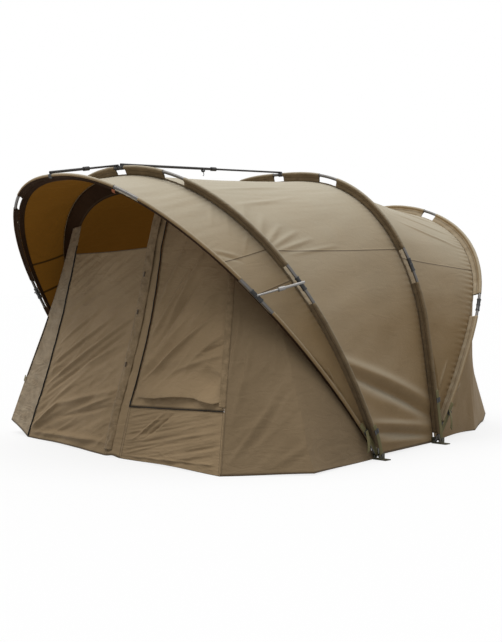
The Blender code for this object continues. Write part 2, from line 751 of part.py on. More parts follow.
def foot_straps():
    """Webbing from each hub plate up along the outer face of its leaning leg."""
    for end, name, ahead in (("front", "rib_1", 1), ("rear", "rib_4", -1)):
        rib = RIBS[name]
        step = (POLE_RADIUS + STRAP_CLOTH / 2 + CLEAR) * ahead
        top = rib["points"][2]
        for side in (-1, 1):

            def place(u, v):
                radius = STRAP_LOW + (STRAP_REACH - STRAP_LOW) * v
                x = rib["foot"] + (abs(top[0]) - rib["foot"]) * max(radius, 0.0) / top[1]
                lean = rib["lean"]
                return Vector((
                    side * x + (u - 0.5) * STRAP_WIDTH,
                    rib["hub_y"] - radius * sin(lean) - step * cos(lean),
                    PIN_HEIGHT + radius * cos(lean) - step * sin(lean),
                ))

            strap = surface(f"{end}_foot_strap_{side_name(side)}", 1, 4, place, STRAP_CLOTH)
            finish(strap, WEBBING, roughness=0.85)


def zip_sliders():
    """One slider at the foot of the closed door's zip, one at the top of the lowered door's zip."""
    seam = infill_seams()
    rows = (
        ("right_zip_slider", "centre_right", "centre_left", FLAP_FOOT + SLIDER_LENGTH),
        ("left_zip_slider", "post_left", "wing_left", DOOR_TOP_LEFT + SLIDER_LENGTH),
    )
    for name, own, beside, height in rows:
        line, other = infill_line(*seam[own]), infill_line(*seam[beside])
        spot = at_height(line, height)
        up = (line[0] - line[1]).normalized()
        middle = height / 2
        out = (at_height(other, middle) - at_height(line, middle)).cross(up).normalized()
        if out.y > 0:
            out = -out
        mesh = bmesh.new()
        bmesh.ops.create_cube(mesh, size=1)
        bmesh.ops.scale(mesh, vec=(SLIDER_WIDTH, SLIDER_DEPTH, SLIDER_LENGTH), verts=mesh.verts)
        bmesh.ops.bevel(mesh, geom=mesh.edges, offset=SLIDER_DEPTH / 5, segments=1, affect="EDGES", profile=0.5)
        obj = new_mesh_object(name, mesh)
        turn = Matrix((out.cross(up), -out, up)).transposed().to_4x4()
        obj.matrix_world = Matrix.Translation(spot + out * (SLIDER_DEPTH + CLOTH) * SLIDER_STAND_OFF) @ turn
        finish(obj, BLACK, roughness=0.4, metallic=0.5)


def empty(name, place):
    made = bpy.data.objects.new(name, None)
    made.location = place
    tent.objects.link(made)
    return made


def carry(parent, pieces):
    """Hangs pieces on an empty without moving them."""
    for piece in pieces:
        piece.parent = parent
        piece.matrix_parent_inverse = Matrix.Translation(parent.location).inverted()


def assemble():
    """Parents every moving piece to an empty on its axis, and the rest to the tent's base."""
    front_pin, rear_pin = (0, 0, PIN_HEIGHT), (0, REAR_HUB_Y, PIN_HEIGHT)
    pivots = {
        "rib_1": empty("rib_1_pivot", front_pin),
        "rib_2": empty("rib_2_pivot", front_pin),
        "rib_4": empty("rib_4_pivot", rear_pin),
    }
    on_rib_2 = ("infill", "left_door", "centre_post", "right_", "front_facing", "ridge_bar_rear", "side_brace",
                "left_zip", "hood_panel")
    base = empty("tent_base", (0, 0, 0))
    for obj in list(tent.objects):
        if obj.type == "EMPTY":
            continue
        name = obj.name
        parent = base
        for rib, pivot in pivots.items():
            if name.startswith(rib):
                parent = pivot
        if name.startswith(("ridge_bar_front", "front_foot_strap")):
            parent = pivots["rib_1"]
        if name.startswith("rear_foot_strap"):
            parent = pivots["rib_4"]
        if name.startswith(on_rib_2):
            parent = pivots["rib_2"]
        carry(parent, [obj])
    carry(base, [*pivots.values(), *cutters.objects])
    return base


def centre_on_ground(base):
    """Moves the tent so that the origin is on the ground under the middle of its outline."""
    bpy.context.view_layer.update()
    graph = bpy.context.evaluated_depsgraph_get()
    corners = []
    for obj in tent.objects:
        if obj.type == "MESH":
            seen = obj.evaluated_get(graph)
            mesh = seen.to_mesh()
            corners += [seen.matrix_world @ v.co for v in mesh.vertices]
            seen.to_mesh_clear()
    points = np.array(corners)
    low, high = points.min(axis=0), points.max(axis=0)
    base.location = (-(low[0] + high[0]) / 2, -(low[1] + high[1]) / 2, -low[2])


clear_scene()
tent = collection("bivvy_tent")
cutters = collection("cutters")
for arch in RIBS.values():
    trace(arch)
for hub_end, hub_x, hub_y in (("front", FRONT_HUB_X, 0.0), ("rear", REAR_HUB_X, REAR_HUB_Y)):
    for hand in (-1, 1):
        hub(f"{hub_end}_hub_{side_name(hand)}", hub_x, hub_y, hand)
        hub_pin(f"{hub_end}_hub_pin_{side_name(hand)}", hub_x, hub_y, hand)
for rib_name in RIBS:
    rib_poles(rib_name)
    sleeve(rib_name)
bay("hood_panel", "rib_1", "rib_2", 2)
bay("main_panel", "rib_2", "rib_3", 0, across=6)
bay("rear_panel", "rib_3", "rib_4", 2)
back_wall()
front_infill()
ridge_bars()
side_braces()
foot_straps()
zip_sliders()
centre_on_ground(assemble())
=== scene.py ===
"""Dresses the frame of a pram-hood bivvy tent: bent poles in their pockets, canopy bays, the zipped front and
the small fittings. Metres, +Z up, the doors face -Y. Each piece has its place in its mesh, and its object
stays at the origin."""

from collections import namedtuple
from functools import lru_cache
from math import cos, exp, pi, radians, sin

import bmesh
import bpy
import numpy as np
from bpy.props import FloatProperty, FloatVectorProperty, PointerProperty
from mathutils import Matrix, Vector, noise


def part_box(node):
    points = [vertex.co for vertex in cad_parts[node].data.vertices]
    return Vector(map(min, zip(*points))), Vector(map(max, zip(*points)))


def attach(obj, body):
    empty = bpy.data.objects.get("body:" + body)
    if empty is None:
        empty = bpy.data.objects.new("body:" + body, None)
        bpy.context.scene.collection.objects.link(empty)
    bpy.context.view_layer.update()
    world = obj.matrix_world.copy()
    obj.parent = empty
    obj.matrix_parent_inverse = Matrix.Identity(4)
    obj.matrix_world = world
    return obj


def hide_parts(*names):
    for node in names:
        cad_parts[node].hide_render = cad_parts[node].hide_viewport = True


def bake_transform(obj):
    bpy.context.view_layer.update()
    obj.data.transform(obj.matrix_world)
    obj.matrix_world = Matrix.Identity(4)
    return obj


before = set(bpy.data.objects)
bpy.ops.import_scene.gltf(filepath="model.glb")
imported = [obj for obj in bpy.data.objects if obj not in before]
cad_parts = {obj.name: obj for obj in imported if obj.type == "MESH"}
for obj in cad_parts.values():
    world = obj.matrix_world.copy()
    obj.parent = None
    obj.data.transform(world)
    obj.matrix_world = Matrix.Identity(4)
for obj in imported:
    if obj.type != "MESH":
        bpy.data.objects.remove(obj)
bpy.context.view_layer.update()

bl_info = {
    "name": "Bivvy tent",
    "version": (1, 0, 0),
    "blender": (4, 5, 0),
    "location": "3D View > Sidebar > Bivvy tent",
    "description": "Dresses the frame of a four-rib bivvy tent with cloth, poles, zips and webbing",
    "category": "Object",
}

# Camera
CAMERA_PLACE = (5.6100, -5.7674, 1.0482)
CAMERA_TURN = radians(44.922)  # from looking along +Y, anticlockwise
CAMERA_TILT = radians(-1.968)
IMAGE_LONG_SIDE = 642
FOCAL_PIXELS = 1204.75
SENSOR = 36.0

# Light and floor
KEY_WAY = (-0.02, -0.20, 1.0)
KEY_STRENGTH = 2.55
KEY_SPREAD = radians(60)
SKY_STRENGTH = 0.46
FLOOR_BOUNCE = 0.45  # the floor's colour as the tent sees it, as a share of its own
FLOOR_WHITE_SHARE = 0.80


def centre_of(node):
    low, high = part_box(node)
    return (low + high) / 2


# Places read from the frame
FRONT_PIN = centre_of("front_hub_pin_right")
FRONT_PIN_LEFT = centre_of("front_hub_pin_left")
REAR_PIN = centre_of("rear_hub_pin_right")
MIDDLE_X = (FRONT_PIN.x + FRONT_PIN_LEFT.x) / 2
FRONT_HUB_X = FRONT_PIN.x - MIDDLE_X
REAR_HUB_X = REAR_PIN.x - MIDDLE_X
ORIGIN = Vector((MIDDLE_X, FRONT_PIN.y, 0))
INSIDE = Vector((MIDDLE_X, FRONT_PIN.y, 0.8))  # a point well inside the cabin

# The arches. Each rib is a plane arch about its hub pin: lean tips it to the front, crown is its height along
# the plane, bulge how far it swells out past its feet, and the powers shape its shoulders and lower legs.
PIVOT_PITCH = 0.028
HEM_HEIGHT = 0.0015
WEB_HEIGHT = 0.055
HOOD_TAIL = 0.030
RIBS = {
    "rib_1": {
        "body": "rib_1", "lean": radians(41.7), "crown": 2.155, "bulge": 0.014,
        "foot": FRONT_HUB_X - PIVOT_PITCH / 2, "hub_y": FRONT_PIN.y, "belly_share": 0.101,
        "side_power": 2.293, "crown_power": 1.918, "foot_power": 2.0, "web": HOOD_TAIL,
    },
    "rib_2": {
        "body": "rib_2", "lean": radians(29.6), "crown": 1.937, "bulge": 0.030,
        "foot": FRONT_HUB_X + PIVOT_PITCH / 2, "hub_y": FRONT_PIN.y, "belly_share": 0.109,
        "side_power": 2.146, "crown_power": 2.534, "foot_power": 2.0, "web": WEB_HEIGHT,
    },
    "rib_3": {
        "body": "ground_frame", "lean": radians(13.0), "crown": 1.771, "bulge": 0.023,
        "foot": REAR_HUB_X + PIVOT_PITCH / 2, "hub_y": REAR_PIN.y, "belly_share": 0.437,
        "side_power": 2.870, "crown_power": 1.885, "foot_power": 2.15, "web": WEB_HEIGHT,
    },
    "rib_4": {
        "body": "rib_4", "lean": radians(-27.9), "crown": 1.769, "bulge": 0.033,
        "foot": REAR_HUB_X - PIVOT_PITCH / 2, "hub_y": REAR_PIN.y, "belly_share": 0.287,
        "side_power": 1.767, "crown_power": 3.165, "foot_power": 1.778, "web": WEB_HEIGHT,
    },
}
ARCH_POINTS = 700
SHARE_STEP = 0.002
JOINT_EASE = 0.260  # how far from a joint the pole is drawn towards it
POCKET_FEET = {"rib_1": 0.120, "rib_2": 0.060, "rib_3": 0.040, "rib_4": 0.120}
BAY_FOOT = 0.100
SEAM_FOOT_RADIUS = 0.060
SEAM_LAP = 0.004  # how far a bay reaches up under the foot of a pocket
SEAM_STEP = 0.0007  # how far it lies in front of or behind the pocket's middle
STITCH_WIDTH = 0.012
LEG_HEEL = 0.012
POLE_JOINT_GAP = 0.001

# Pocket cut-outs: distance from the hub, or the crown, and half length along the pole
WINDOWS = {
    "rib_1": (("joint", 0.130), (2.000, 0.080)),
    "rib_2": (("joint", 0.130), (1.860, 0.080), ("crown", 0.045)),
    "rib_3": (("joint", 0.115), (1.730, 0.075), ("crown", 0.045)),
    "rib_4": (("joint", 0.085), (1.700, 0.065)),
}
HEM_STRIPS = {"rib_1": 0.003, "rib_2": 0.010, "rib_3": 0.010, "rib_4": 0.006}
WEB_HALF_GAP = 0.0024
WEB_TAPER = 0.0006
WEB_ROWS = (0.66, 0.33)
POCKET_STEP = 0.014
POCKET_ANGLES = range(-150, 151, 25)
POCKET_MOUTH = 0.87  # where the tube of the pocket opens into its web, as a share of its bore

# Ground points, from the middle of the front hub pins' line
HUB_CORNER = (1.172, -0.012)
PEG_WING_LEFT = (-1.400, -0.790, 0.085)
PEG_FRONT_LEFT = (-1.092, -0.868)
POST_FOOT_LEFT = (-0.050, -1.035)
POST_FOOT_RIGHT = (0.100, -1.045)
PEG_FRONT_RIGHT = (0.990, -1.085)
PEG_WING_RIGHT = (1.315, -0.690)
BACK_GROUND = ((0.975, 0.850), (0.820, 1.530), (0.530, 2.090))
BACK_CORNER_SHARES = (0.0, 0.20, 0.36, 0.64, 0.80, 1.0)
BACK_TIPS = BACK_CORNER_SHARES[2:4]  # the far corners, which stand off the ground
BACK_TIP_LIFT = 0.055
BACK_TIP_REACH = 0.045

# The front: where its seams meet the facing, and the doors' edges
FACING_OUTER = 0.0560
FACING_INNER = 0.165
INFILL_LAP = 0.0015
INFILL_AHEAD = 0.0025
WING_FOOT_INSET = 0.060
LEFT_STRIP_INSET = 0.112
LEFT_STRIP_AHEAD = 0.008
DOOR_INSET = 0.172
SEAM_WING_RADIUS = 1.640
SEAM_POST_RADIUS = 1.700
SEAM_SIDE_RADIUS = 1.550
SEAM_SIDE_WING_RADIUS = 1.300
POST_TOP_LEFT = 0.300
POST_TOP_RIGHT = 0.400
DOOR_TOP_LEFT = 1.215
DOOR_TOP_RIGHT = 1.240
LOOSE_TOP_HEIGHT = 1.0  # a panel cut off above this height hangs loose along its top
FLAP_FOOT = 0.308
FLAP_FOOT_RIGHT = 0.336
FLAP_ZIP_GAP = 0.004
BOWS = (  # the zips drawn to the right: x at the ground and the facing, the two heights and the most
    (0.100, 0.400, 0.31, 1.24, 0.036),
    (-1.100, -0.700, 0.02, 1.45, 0.055),
)
BOW_REACH = 0.24
BOW_TOP = 1.5

# A seam of the front: its share of rib_2, its ground point, and how far inside and ahead of rib_2 it starts
Seam = namedtuple("Seam", "share foot inset ahead", defaults=(FACING_INNER - INFILL_LAP, INFILL_AHEAD))

# Cloth: the hem's drop to the ground, the roof's slack and the lines that its materials draw
HEM_DROP_REACH = 0.11
HEM_CALM = 0.06
ROOF_FROM = 1.55
ROOF_RISE = 0.4
HOOD_SHADED_FROM = 0.62
# painted top light: how sharply it falls off as the cloth turns away from the sky
TOP_LIGHT_POWER = 1.12
STITCH_LINE = 0.0035
HEM_LINE = 0.016
CLOTH_THREADS = 650.0
SHARP_ANGLE = radians(35)
RIBBON_ROWS = 4
TOGGLE_HEIGHTS = (1.08, 0.86, 0.55)

# Straps: how far they stand off the pocket, the distances from the hub, and the places of their buckles
STRAP_STANDOFF = 0.0035
STRAP_FOOT = 0.004
STRAP_STEPS = 30
STRAP_THICKNESS = 0.0018
STRAP_WAVES = 0.0015
FOOT_STRAP_REACH = 0.255
FOOT_BUCKLE_STEP = 22
LEG_STRAP_REACH = {"rib_2": 0.21, "rib_3": 0.33}
LEG_BUCKLE_STEP = 24
TAIL_STEPS = 18
TAIL_LENGTH = 0.120

# Panel seams of the canopy bays, as distances from the hubs of the two ribs they join
BAY_SEAMS = {
    "hood_canopy": ((1.500, 1.395), (1.255, 1.190)),
    "main_canopy": ((1.385, 1.265),),
    "rear_canopy": ((1.205, 1.250),),
}


class TentSizes(bpy.types.PropertyGroup):
    """Sizes a user would change."""

    pole_radius: FloatProperty(name="Pole radius", description="Half the thickness of the rib poles",
                               default=0.0095, min=0.004, max=0.02, unit="LENGTH")
    pocket_bore: FloatProperty(name="Pocket bore", description="Radius of the tube that the pocket makes",
                               default=0.0112, min=0.005, max=0.03, unit="LENGTH")
    cloth: FloatProperty(name="Cloth", description="Thickness of the canopy cloth",
                         default=0.0010, min=0.0002, max=0.004, unit="LENGTH")
    bay_sag: FloatProperty(name="Bay sag", description="How far a canopy bay sinks between its two ribs",
                           default=0.015, min=0.0, max=0.08, unit="LENGTH")
    pucker: FloatProperty(name="Pucker", description="Depth of the small gathers along the sewn edges",
                          default=0.0026, min=0.0, max=0.01, unit="LENGTH")
    crease: FloatProperty(name="Door crease", description="Depth of the slanted creases on the doors",
                          default=0.0155, min=0.0, max=0.03, unit="LENGTH")
    swag: FloatProperty(name="Swag", description="How far loose cloth hangs over the closed door's foot",
                        default=0.036, min=0.0, max=0.05, unit="LENGTH")
    zip_width: FloatProperty(name="Zip width", description="Width of the zips' tapes",
                             default=0.0085, min=0.004, max=0.03, unit="LENGTH")
    strap_width: FloatProperty(name="Strap width", description="Width of the webbing at the rib feet",
                               default=0.030, min=0.01, max=0.05, unit="LENGTH")


def colour(title, text, value):
    return FloatVectorProperty(name=title, description=text, subtype="COLOR", size=3, min=0.0, max=1.0,
                               default=value)


class TentColours(bpy.types.PropertyGroup):
    """Colours a user would change, as linear values."""

    canopy: colour("Canopy", "Outside of the canopy cloth", (0.286, 0.192, 0.093))
    canopy_shade: colour("Canopy shade", "Duller patches of the canopy cloth", (0.262, 0.175, 0.084))
    # painted top light: cloth that faces the sky is mixed towards this paler colour, for the overhead light
    # and its sheen
    pale: colour("Painted top light", "Cloth that faces the sky", (0.440, 0.398, 0.306))
    front: colour("Front", "The doors and wings of the front", (0.312, 0.220, 0.121))
    post: colour("Post", "The strips beside the doors", (0.330, 0.248, 0.156))
    pocket: colour("Pocket", "The pole pockets", (0.212, 0.152, 0.084))
    # partly painted light: the lining's amber is made brighter and more saturated than the cloth's own, to
    # stand in for daylight through the canopy
    lining: colour("Lining", "Coated inside of the canopy", (0.190, 0.082, 0.009))
    glow: colour("Glow", "Daylight that comes through the canopy to its inside", (0.042, 0.0185, 0.0028))
    # the facing colour also paints the shade on the hood's unlit inner side, on the hood rib's pocket and the
    # band behind its edge
    facing: colour("Facing", "The dark bands inside the hood", (0.040, 0.019, 0.0085))
    thread: colour("Thread", "Sewing thread and seam tape", (0.060, 0.040, 0.022))
    zips: colour("Zip", "Zip tapes and teeth", (0.010, 0.0085, 0.0065))
    webbing: colour("Webbing", "Straps at the feet", (0.135, 0.118, 0.055))
    pole: colour("Pole", "Anodised rib poles", (0.120, 0.113, 0.106))
    bar: colour("Bar", "Bare bars and pins", (0.240, 0.232, 0.222))
    dark_bar: colour("Dark bar", "Black ridge bars", (0.030, 0.028, 0.027))
    plastic: colour("Plastic", "Moulded joints, collars and hubs", (0.014, 0.014, 0.014))
    tab: colour("Tab", "The pull tab on the hood", (0.420, 0.130, 0.055))
    floor: colour("Floor", "The studio floor", (0.780, 0.780, 0.780))


def sizes():
    return bpy.context.scene.tent_sizes


def colours():
    return bpy.context.scene.tent_colours


# The arches


def half_width(rib, radius):
    belly = rib["belly_share"] * rib["crown"]
    widest = rib["foot"] + rib["bulge"]
    if radius < belly:
        return widest - rib["bulge"] * ((belly - radius) / belly) ** rib["foot_power"]
    rise = (radius - belly) / (rib["crown"] - belly)
    return widest * max(0.0, 1 - rise ** rib["crown_power"]) ** (1 / rib["side_power"])


@lru_cache(maxsize=None)
def arch(name):
    """The rib's line in its own plane, the share of its length at each point, and its length."""
    rib = RIBS[name]
    radii = rib["crown"] * (1 - np.linspace(0, 1, ARCH_POINTS) ** 2)
    side = np.array([(half_width(rib, radius), radius) for radius in radii])
    points = np.concatenate([(side * (-1, 1))[::-1], side[1:]])
    steps = np.linalg.norm(np.diff(points, axis=0), axis=1)
    lengths = np.concatenate([[0.0], np.cumsum(steps)])
    return points, lengths / lengths[-1], float(lengths[-1])


def share_at(name, radius, side=1):
    """The share of the arch that lies this far from its hub, on the right for side 1 and the left for -1."""
    points, shares, _ = arch(name)
    half = len(points) // 2
    left = float(np.interp(radius, points[: half + 1, 1], shares[: half + 1]))
    return left if side < 0 else 1 - left


def share_at_x(name, x):
    points, shares, _ = arch(name)
    return float(np.interp(x, points[:, 0], shares))


@lru_cache(maxsize=None)
def joint(name):
    """The share of the rib's left joint, and how far outside its collar the smooth arch would pass."""
    rib = RIBS[name]
    middle = centre_of(f"{name}_connector_left")
    lean = rib["lean"]
    radius = -(middle.y - rib["hub_y"]) * sin(lean) + (middle.z - FRONT_PIN.z) * cos(lean)
    points, shares, _ = arch(name)
    share = share_at(name, radius, -1)
    smooth = float(np.interp(share, shares, points[:, 0]))
    return share, middle.x - MIDDLE_X - smooth


@lru_cache(maxsize=None)
def plane_point(name, share):
    points, shares, length = arch(name)
    x = float(np.interp(share, shares, points[:, 0]))
    radius = float(np.interp(share, shares, points[:, 1]))
    spot, offset = joint(name)
    for side, place in ((1, spot), (-1, 1 - spot)):
        away = abs(share - place) * length / JOINT_EASE
        if away < 1:
            x += side * offset * cos(pi / 2 * away) ** 2
    return x, radius


@lru_cache(maxsize=None)
def rib_at(name, share, inset=0.0, ahead=0.0):
    """A point by the rib: inset towards the cabin in the rib's plane, and ahead of that plane."""
    rib = RIBS[name]
    share = min(max(share, 0.0), 1.0)
    x, radius = plane_point(name, share)
    if inset:
        x0, r0 = plane_point(name, max(share - SHARE_STEP, 0.0))
        x1, r1 = plane_point(name, min(share + SHARE_STEP, 1.0))
        along = Vector((x1 - x0, r1 - r0)).normalized()
        x, radius = x + inset * along.y, radius - inset * along.x
    lean = rib["lean"]
    return Vector((
        MIDDLE_X + x,
        rib["hub_y"] - radius * sin(lean) - ahead * cos(lean),
        FRONT_PIN.z + radius * cos(lean) - ahead * sin(lean),
    ))


def rib_ahead(name):
    """The direction square to the rib's plane, towards the front."""
    lean = RIBS[name]["lean"]
    return Vector((0, -cos(lean), -sin(lean)))


def rib_along(name, share):
    """The direction of the pole, from left to right."""
    return (rib_at(name, share + SHARE_STEP) - rib_at(name, share - SHARE_STEP)).normalized()


def inwards(name, share):
    return (rib_at(name, share, WEB_HEIGHT) - rib_at(name, share)).normalized()


def under_web(name, share, side):
    """A point under the foot of the rib's pocket, at its front for side 1 and its rear for -1."""
    return rib_at(name, share, RIBS[name]["web"] - SEAM_LAP, side * SEAM_STEP)


def between_feet(start, u):
    return start + u * (1 - 2 * start)


def ground(place):
    """A point of the lower hem; a third number lifts it off the ground, as at a taut corner."""
    return ORIGIN + Vector((place[0], place[1], place[2] if len(place) > 2 else HEM_HEIGHT))


# Meshes


def new_object(name, mesh_data):
    mesh = bpy.data.meshes.new(name)
    mesh_data.to_mesh(mesh)
    mesh_data.free()
    obj = bpy.data.objects.new(name, mesh)
    bpy.context.scene.collection.objects.link(obj)
    return obj


def no_line(u, v):
    return 1.0


def laid(columns, rows, place, size, marks={}):
    """A grid laid over a curved surface by place(u, v), with a map in metres and a number a point for each
    mark: signed distances to the panel seams, to the stitching along the edges and to the hem."""
    mesh = bmesh.new()
    cloth_map = mesh.loops.layers.uv.new("cloth")
    marks = {"sewn": no_line, "edge": no_line, "hem": no_line, **marks}
    layers = {key: mesh.verts.layers.float.new(key) for key in marks}
    bmesh.ops.create_grid(mesh, x_segments=columns, y_segments=rows, size=0.5)
    spots = {}
    for vertex in mesh.verts:
        column, row = round((vertex.co.x + 0.5) * columns), round((vertex.co.y + 0.5) * rows)
        spots[vertex] = (column / columns, row / rows)
    for face in mesh.faces:
        face.smooth = True
        for loop in face.loops:
            u, v = spots[loop.vert]
            loop[cloth_map].uv = (u * size[0], v * size[1])
    for vertex, (u, v) in spots.items():
        vertex.co = place(u, v)
        for key, layer in layers.items():
            vertex[layer] = marks[key](u, v)
    mesh.normal_update()
    return mesh


def paint_top_light(mesh):
    """Marks how far each point faces the sky, for the painted top light: the cloth there is painted paler and
    greyer, as the overhead light and its sheen show it.
    """
    layer = mesh.verts.layers.float.new("painted_top_light")
    mesh.normal_update()
    for vertex in mesh.verts:
        vertex[layer] = min(1.0, max(0.0, vertex.normal.z)) ** TOP_LIGHT_POWER


def face_away(mesh, centre):
    """Turns the whole surface round if it mostly faces the centre."""
    outwards = 0.0
    for face in mesh.faces:
        outwards += (face.calc_center_median() - centre).dot(face.normal) * face.calc_area()
    if outwards < 0:
        bmesh.ops.reverse_faces(mesh, faces=mesh.faces)


def wall(obj, thickness, offset=-1.0, lined=False):
    """Thickens cloth. With a lining, the inner side takes the second material."""
    modifier = obj.modifiers.new("cloth", "SOLIDIFY")
    modifier.thickness = thickness
    modifier.offset = offset
    modifier.use_even_offset = False
    if lined:
        modifier.material_offset = 1
    return obj


def dress(obj, *materials):
    if obj.data.materials:
        obj.data.materials.clear()
    for made in materials:
        obj.data.materials.append(made)
    return obj


def fitted(obj, slot, body, *materials, node=None):
    """Finishes a piece: its materials, the CAD node it stands for and the body it rides on; the slot is not
    used.
    """
    dress(obj, *materials)
    if node:
        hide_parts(node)
    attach(obj, body)


def spread(obj, columns, rows, held, rests_on):
    """Reads the points of a grid of cloth and the area of its cut, and does nothing with them."""
    mesh = obj.data
    mesh.update()
    points = np.empty(len(mesh.vertices) * 3, np.float32)
    mesh.vertices.foreach_get("co", points)
    area = sum(face.area for face in mesh.polygons)


def cloth_piece(name, grid, place, size, marks, slot, rests_on, *materials, node=None, body=None,
                held="stretched", offset=-1.0, inside=INSIDE, painted_top_light=True):
    """Lays a cloth of grid columns and rows and finishes it; a second material is its lining."""
    mesh = laid(*grid, place, size, marks)
    face_away(mesh, inside)
    # marks the painted top light, by how far each point faces the sky
    if painted_top_light:
        paint_top_light(mesh)
    obj = wall(new_object(name, mesh), sizes().cloth, offset, len(materials) > 1)
    dress(obj, *materials)
    if node:
        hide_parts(node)
    spread(obj, *grid, held, rests_on)
    if body:
        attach(obj, body)
    return obj


def tube(name, points, radius, sides=18):
    """A round pole along these points, closed at both ends."""
    count = len(points) - 1
    frames = []
    side = None
    for i, point in enumerate(points):
        along = (points[min(i + 1, count)] - points[max(i - 1, 0)]).normalized()
        if side is None:
            side = along.orthogonal().normalized()
        side = (side - along * side.dot(along)).normalized()
        frames.append((point, side, along.cross(side)))
    length = sum((b - a).length for a, b in zip(points, points[1:]))

    def place(u, v):
        point, first, second = frames[round(u * count)]
        turn = 2 * pi * v
        return point + (first * cos(turn) + second * sin(turn)) * radius

    mesh = laid(count, sides, place, (length, 2 * pi * radius))
    bmesh.ops.remove_doubles(mesh, verts=mesh.verts, dist=radius / 100)
    bmesh.ops.holes_fill(mesh, edges=[edge for edge in mesh.edges if edge.is_boundary])
    bmesh.ops.recalc_face_normals(mesh, faces=mesh.faces)
    return new_object(name, mesh)


def turned(name, rows, start, along, steps=40, closed=True):
    """A profile of (radius, distance) pairs spun about the line from start in the direction along."""
    mesh = bmesh.new()
    profile = [mesh.verts.new((radius, 0, distance)) for radius, distance in rows]
    edges = [mesh.edges.new(pair) for pair in zip(profile, profile[1:])]
    if closed:
        edges.append(mesh.edges.new((profile[-1], profile[0])))
    bmesh.ops.spin(mesh, geom=profile + edges, cent=(0, 0, 0), axis=(0, 0, 1), angle=2 * pi, steps=steps,
                   use_merge=True, use_duplicate=False)
    bmesh.ops.remove_doubles(mesh, verts=mesh.verts, dist=0.00001)
    bmesh.ops.recalc_face_normals(mesh, faces=mesh.faces)
    turn = Vector(along).to_track_quat("Z", "Y").to_matrix().to_4x4()
    bmesh.ops.transform(mesh, matrix=Matrix.Translation(start) @ turn, verts=mesh.verts)
    obj = new_object(name, mesh)
    obj.data.shade_smooth()
    obj.data.set_sharp_from_angle(angle=SHARP_ANGLE)
    return obj


def ribbon(name, path, across, width, thickness, waves=0.0):
    """Webbing or tape along a path, with its width along the given direction."""
    count = len(path) - 1
    length = sum((b - a).length for a, b in zip(path, path[1:]))

    def place(u, v):
        point = path[round(u * count)]
        return point + across * ((v - 0.5) * width + waves * noise.noise(point * 14))

    obj = new_object(name, laid(count, RIBBON_ROWS, place, (length, width)))
    return wall(obj, thickness, 0.0)


def line_points(start, end, step):
    count = max(2, round((end - start).length / step))
    return [start.lerp(end, i / count) for i in range(count + 1)]


# Materials


def socket_of(tree, kind, inputs=None, **settings):
    """A new shader node with its settings and inputs; an input that is a socket is linked."""
    made = tree.nodes.new(kind)
    for key, value in settings.items():
        setattr(made, key, value)
    for key, value in (inputs or {}).items():
        if isinstance(value, bpy.types.NodeSocket):
            tree.links.new(value, made.inputs[key])
        else:
            made.inputs[key].default_value = value
    return made


def group(name, inputs, outputs):
    """An empty node group with float, vector or colour sockets."""
    tree = bpy.data.node_groups.new(name, "ShaderNodeTree")
    for title, kind, value in inputs:
        made = tree.interface.new_socket(title, in_out="INPUT", socket_type=kind)
        if value is not None:
            made.default_value = value
    for title, kind in outputs:
        tree.interface.new_socket(title, in_out="OUTPUT", socket_type=kind)
    return tree, tree.nodes.new("NodeGroupInput"), tree.nodes.new("NodeGroupOutput")


def math(tree, operation, *values):
    return socket_of(tree, "ShaderNodeMath", dict(enumerate(values)), operation=operation).outputs[0]


def eased(tree, value, low, high, to_low=0.0, to_high=1.0):
    """The value carried smoothly from one range to another."""
    node = socket_of(tree, "ShaderNodeMapRange", {
        "Value": value, "From Min": low, "From Max": high, "To Min": to_low, "To Max": to_high},
        interpolation_type="SMOOTHSTEP")
    return node.outputs[0]


def bumped(tree, height, distance, strength=1.0, below=None):
    """The normal that a height makes, on top of the normal below it."""
    inputs = {"Strength": strength, "Distance": distance, "Height": height}
    if below is not None:
        inputs["Normal"] = below
    return socket_of(tree, "ShaderNodeBump", inputs).outputs[0]


@lru_cache(maxsize=None)
def weave_group():
    """A plain weave: two sets of threads that cross, in a map that is in metres."""
    tree, given, out = group(
        "plain_weave", (("Map", "NodeSocketVector", None), ("Threads", "NodeSocketFloat", 700.0)),
        (("Height", "NodeSocketFloat"),))
    parts = socket_of(tree, "ShaderNodeSeparateXYZ", {0: given.outputs["Map"]})
    turns = math(tree, "MULTIPLY", given.outputs["Threads"], pi)
    warp = math(tree, "SINE", math(tree, "MULTIPLY", parts.outputs["X"], turns))
    weft = math(tree, "SINE", math(tree, "MULTIPLY", parts.outputs["Y"], turns))
    crossed = math(tree, "MULTIPLY", warp, weft)
    tree.links.new(math(tree, "MULTIPLY_ADD", crossed, 0.5, 0.5), out.inputs["Height"])
    return tree


@lru_cache(maxsize=None)
def weather_group():
    """Soft uneven patches, from 0 to 1, as on cloth that has been folded and rained on."""
    tree, given, out = group(
        "weathering", (("Place", "NodeSocketVector", None), ("Scale", "NodeSocketFloat", 3.0)),
        (("Patches", "NodeSocketFloat"), ("Specks", "NodeSocketFloat")))
    large = socket_of(tree, "ShaderNodeTexNoise", {
        "Vector": given.outputs["Place"], "Scale": given.outputs["Scale"], "Detail": 5.0, "Roughness": 0.62})
    fine_scale = math(tree, "MULTIPLY", given.outputs["Scale"], 22.0)
    fine = socket_of(tree, "ShaderNodeTexNoise", {
        "Vector": given.outputs["Place"], "Scale": fine_scale, "Detail": 3.0, "Roughness": 0.6})
    tree.links.new(eased(tree, large.outputs["Fac"], 0.35, 0.65), out.inputs["Patches"])
    tree.links.new(fine.outputs["Fac"], out.inputs["Specks"])
    return tree


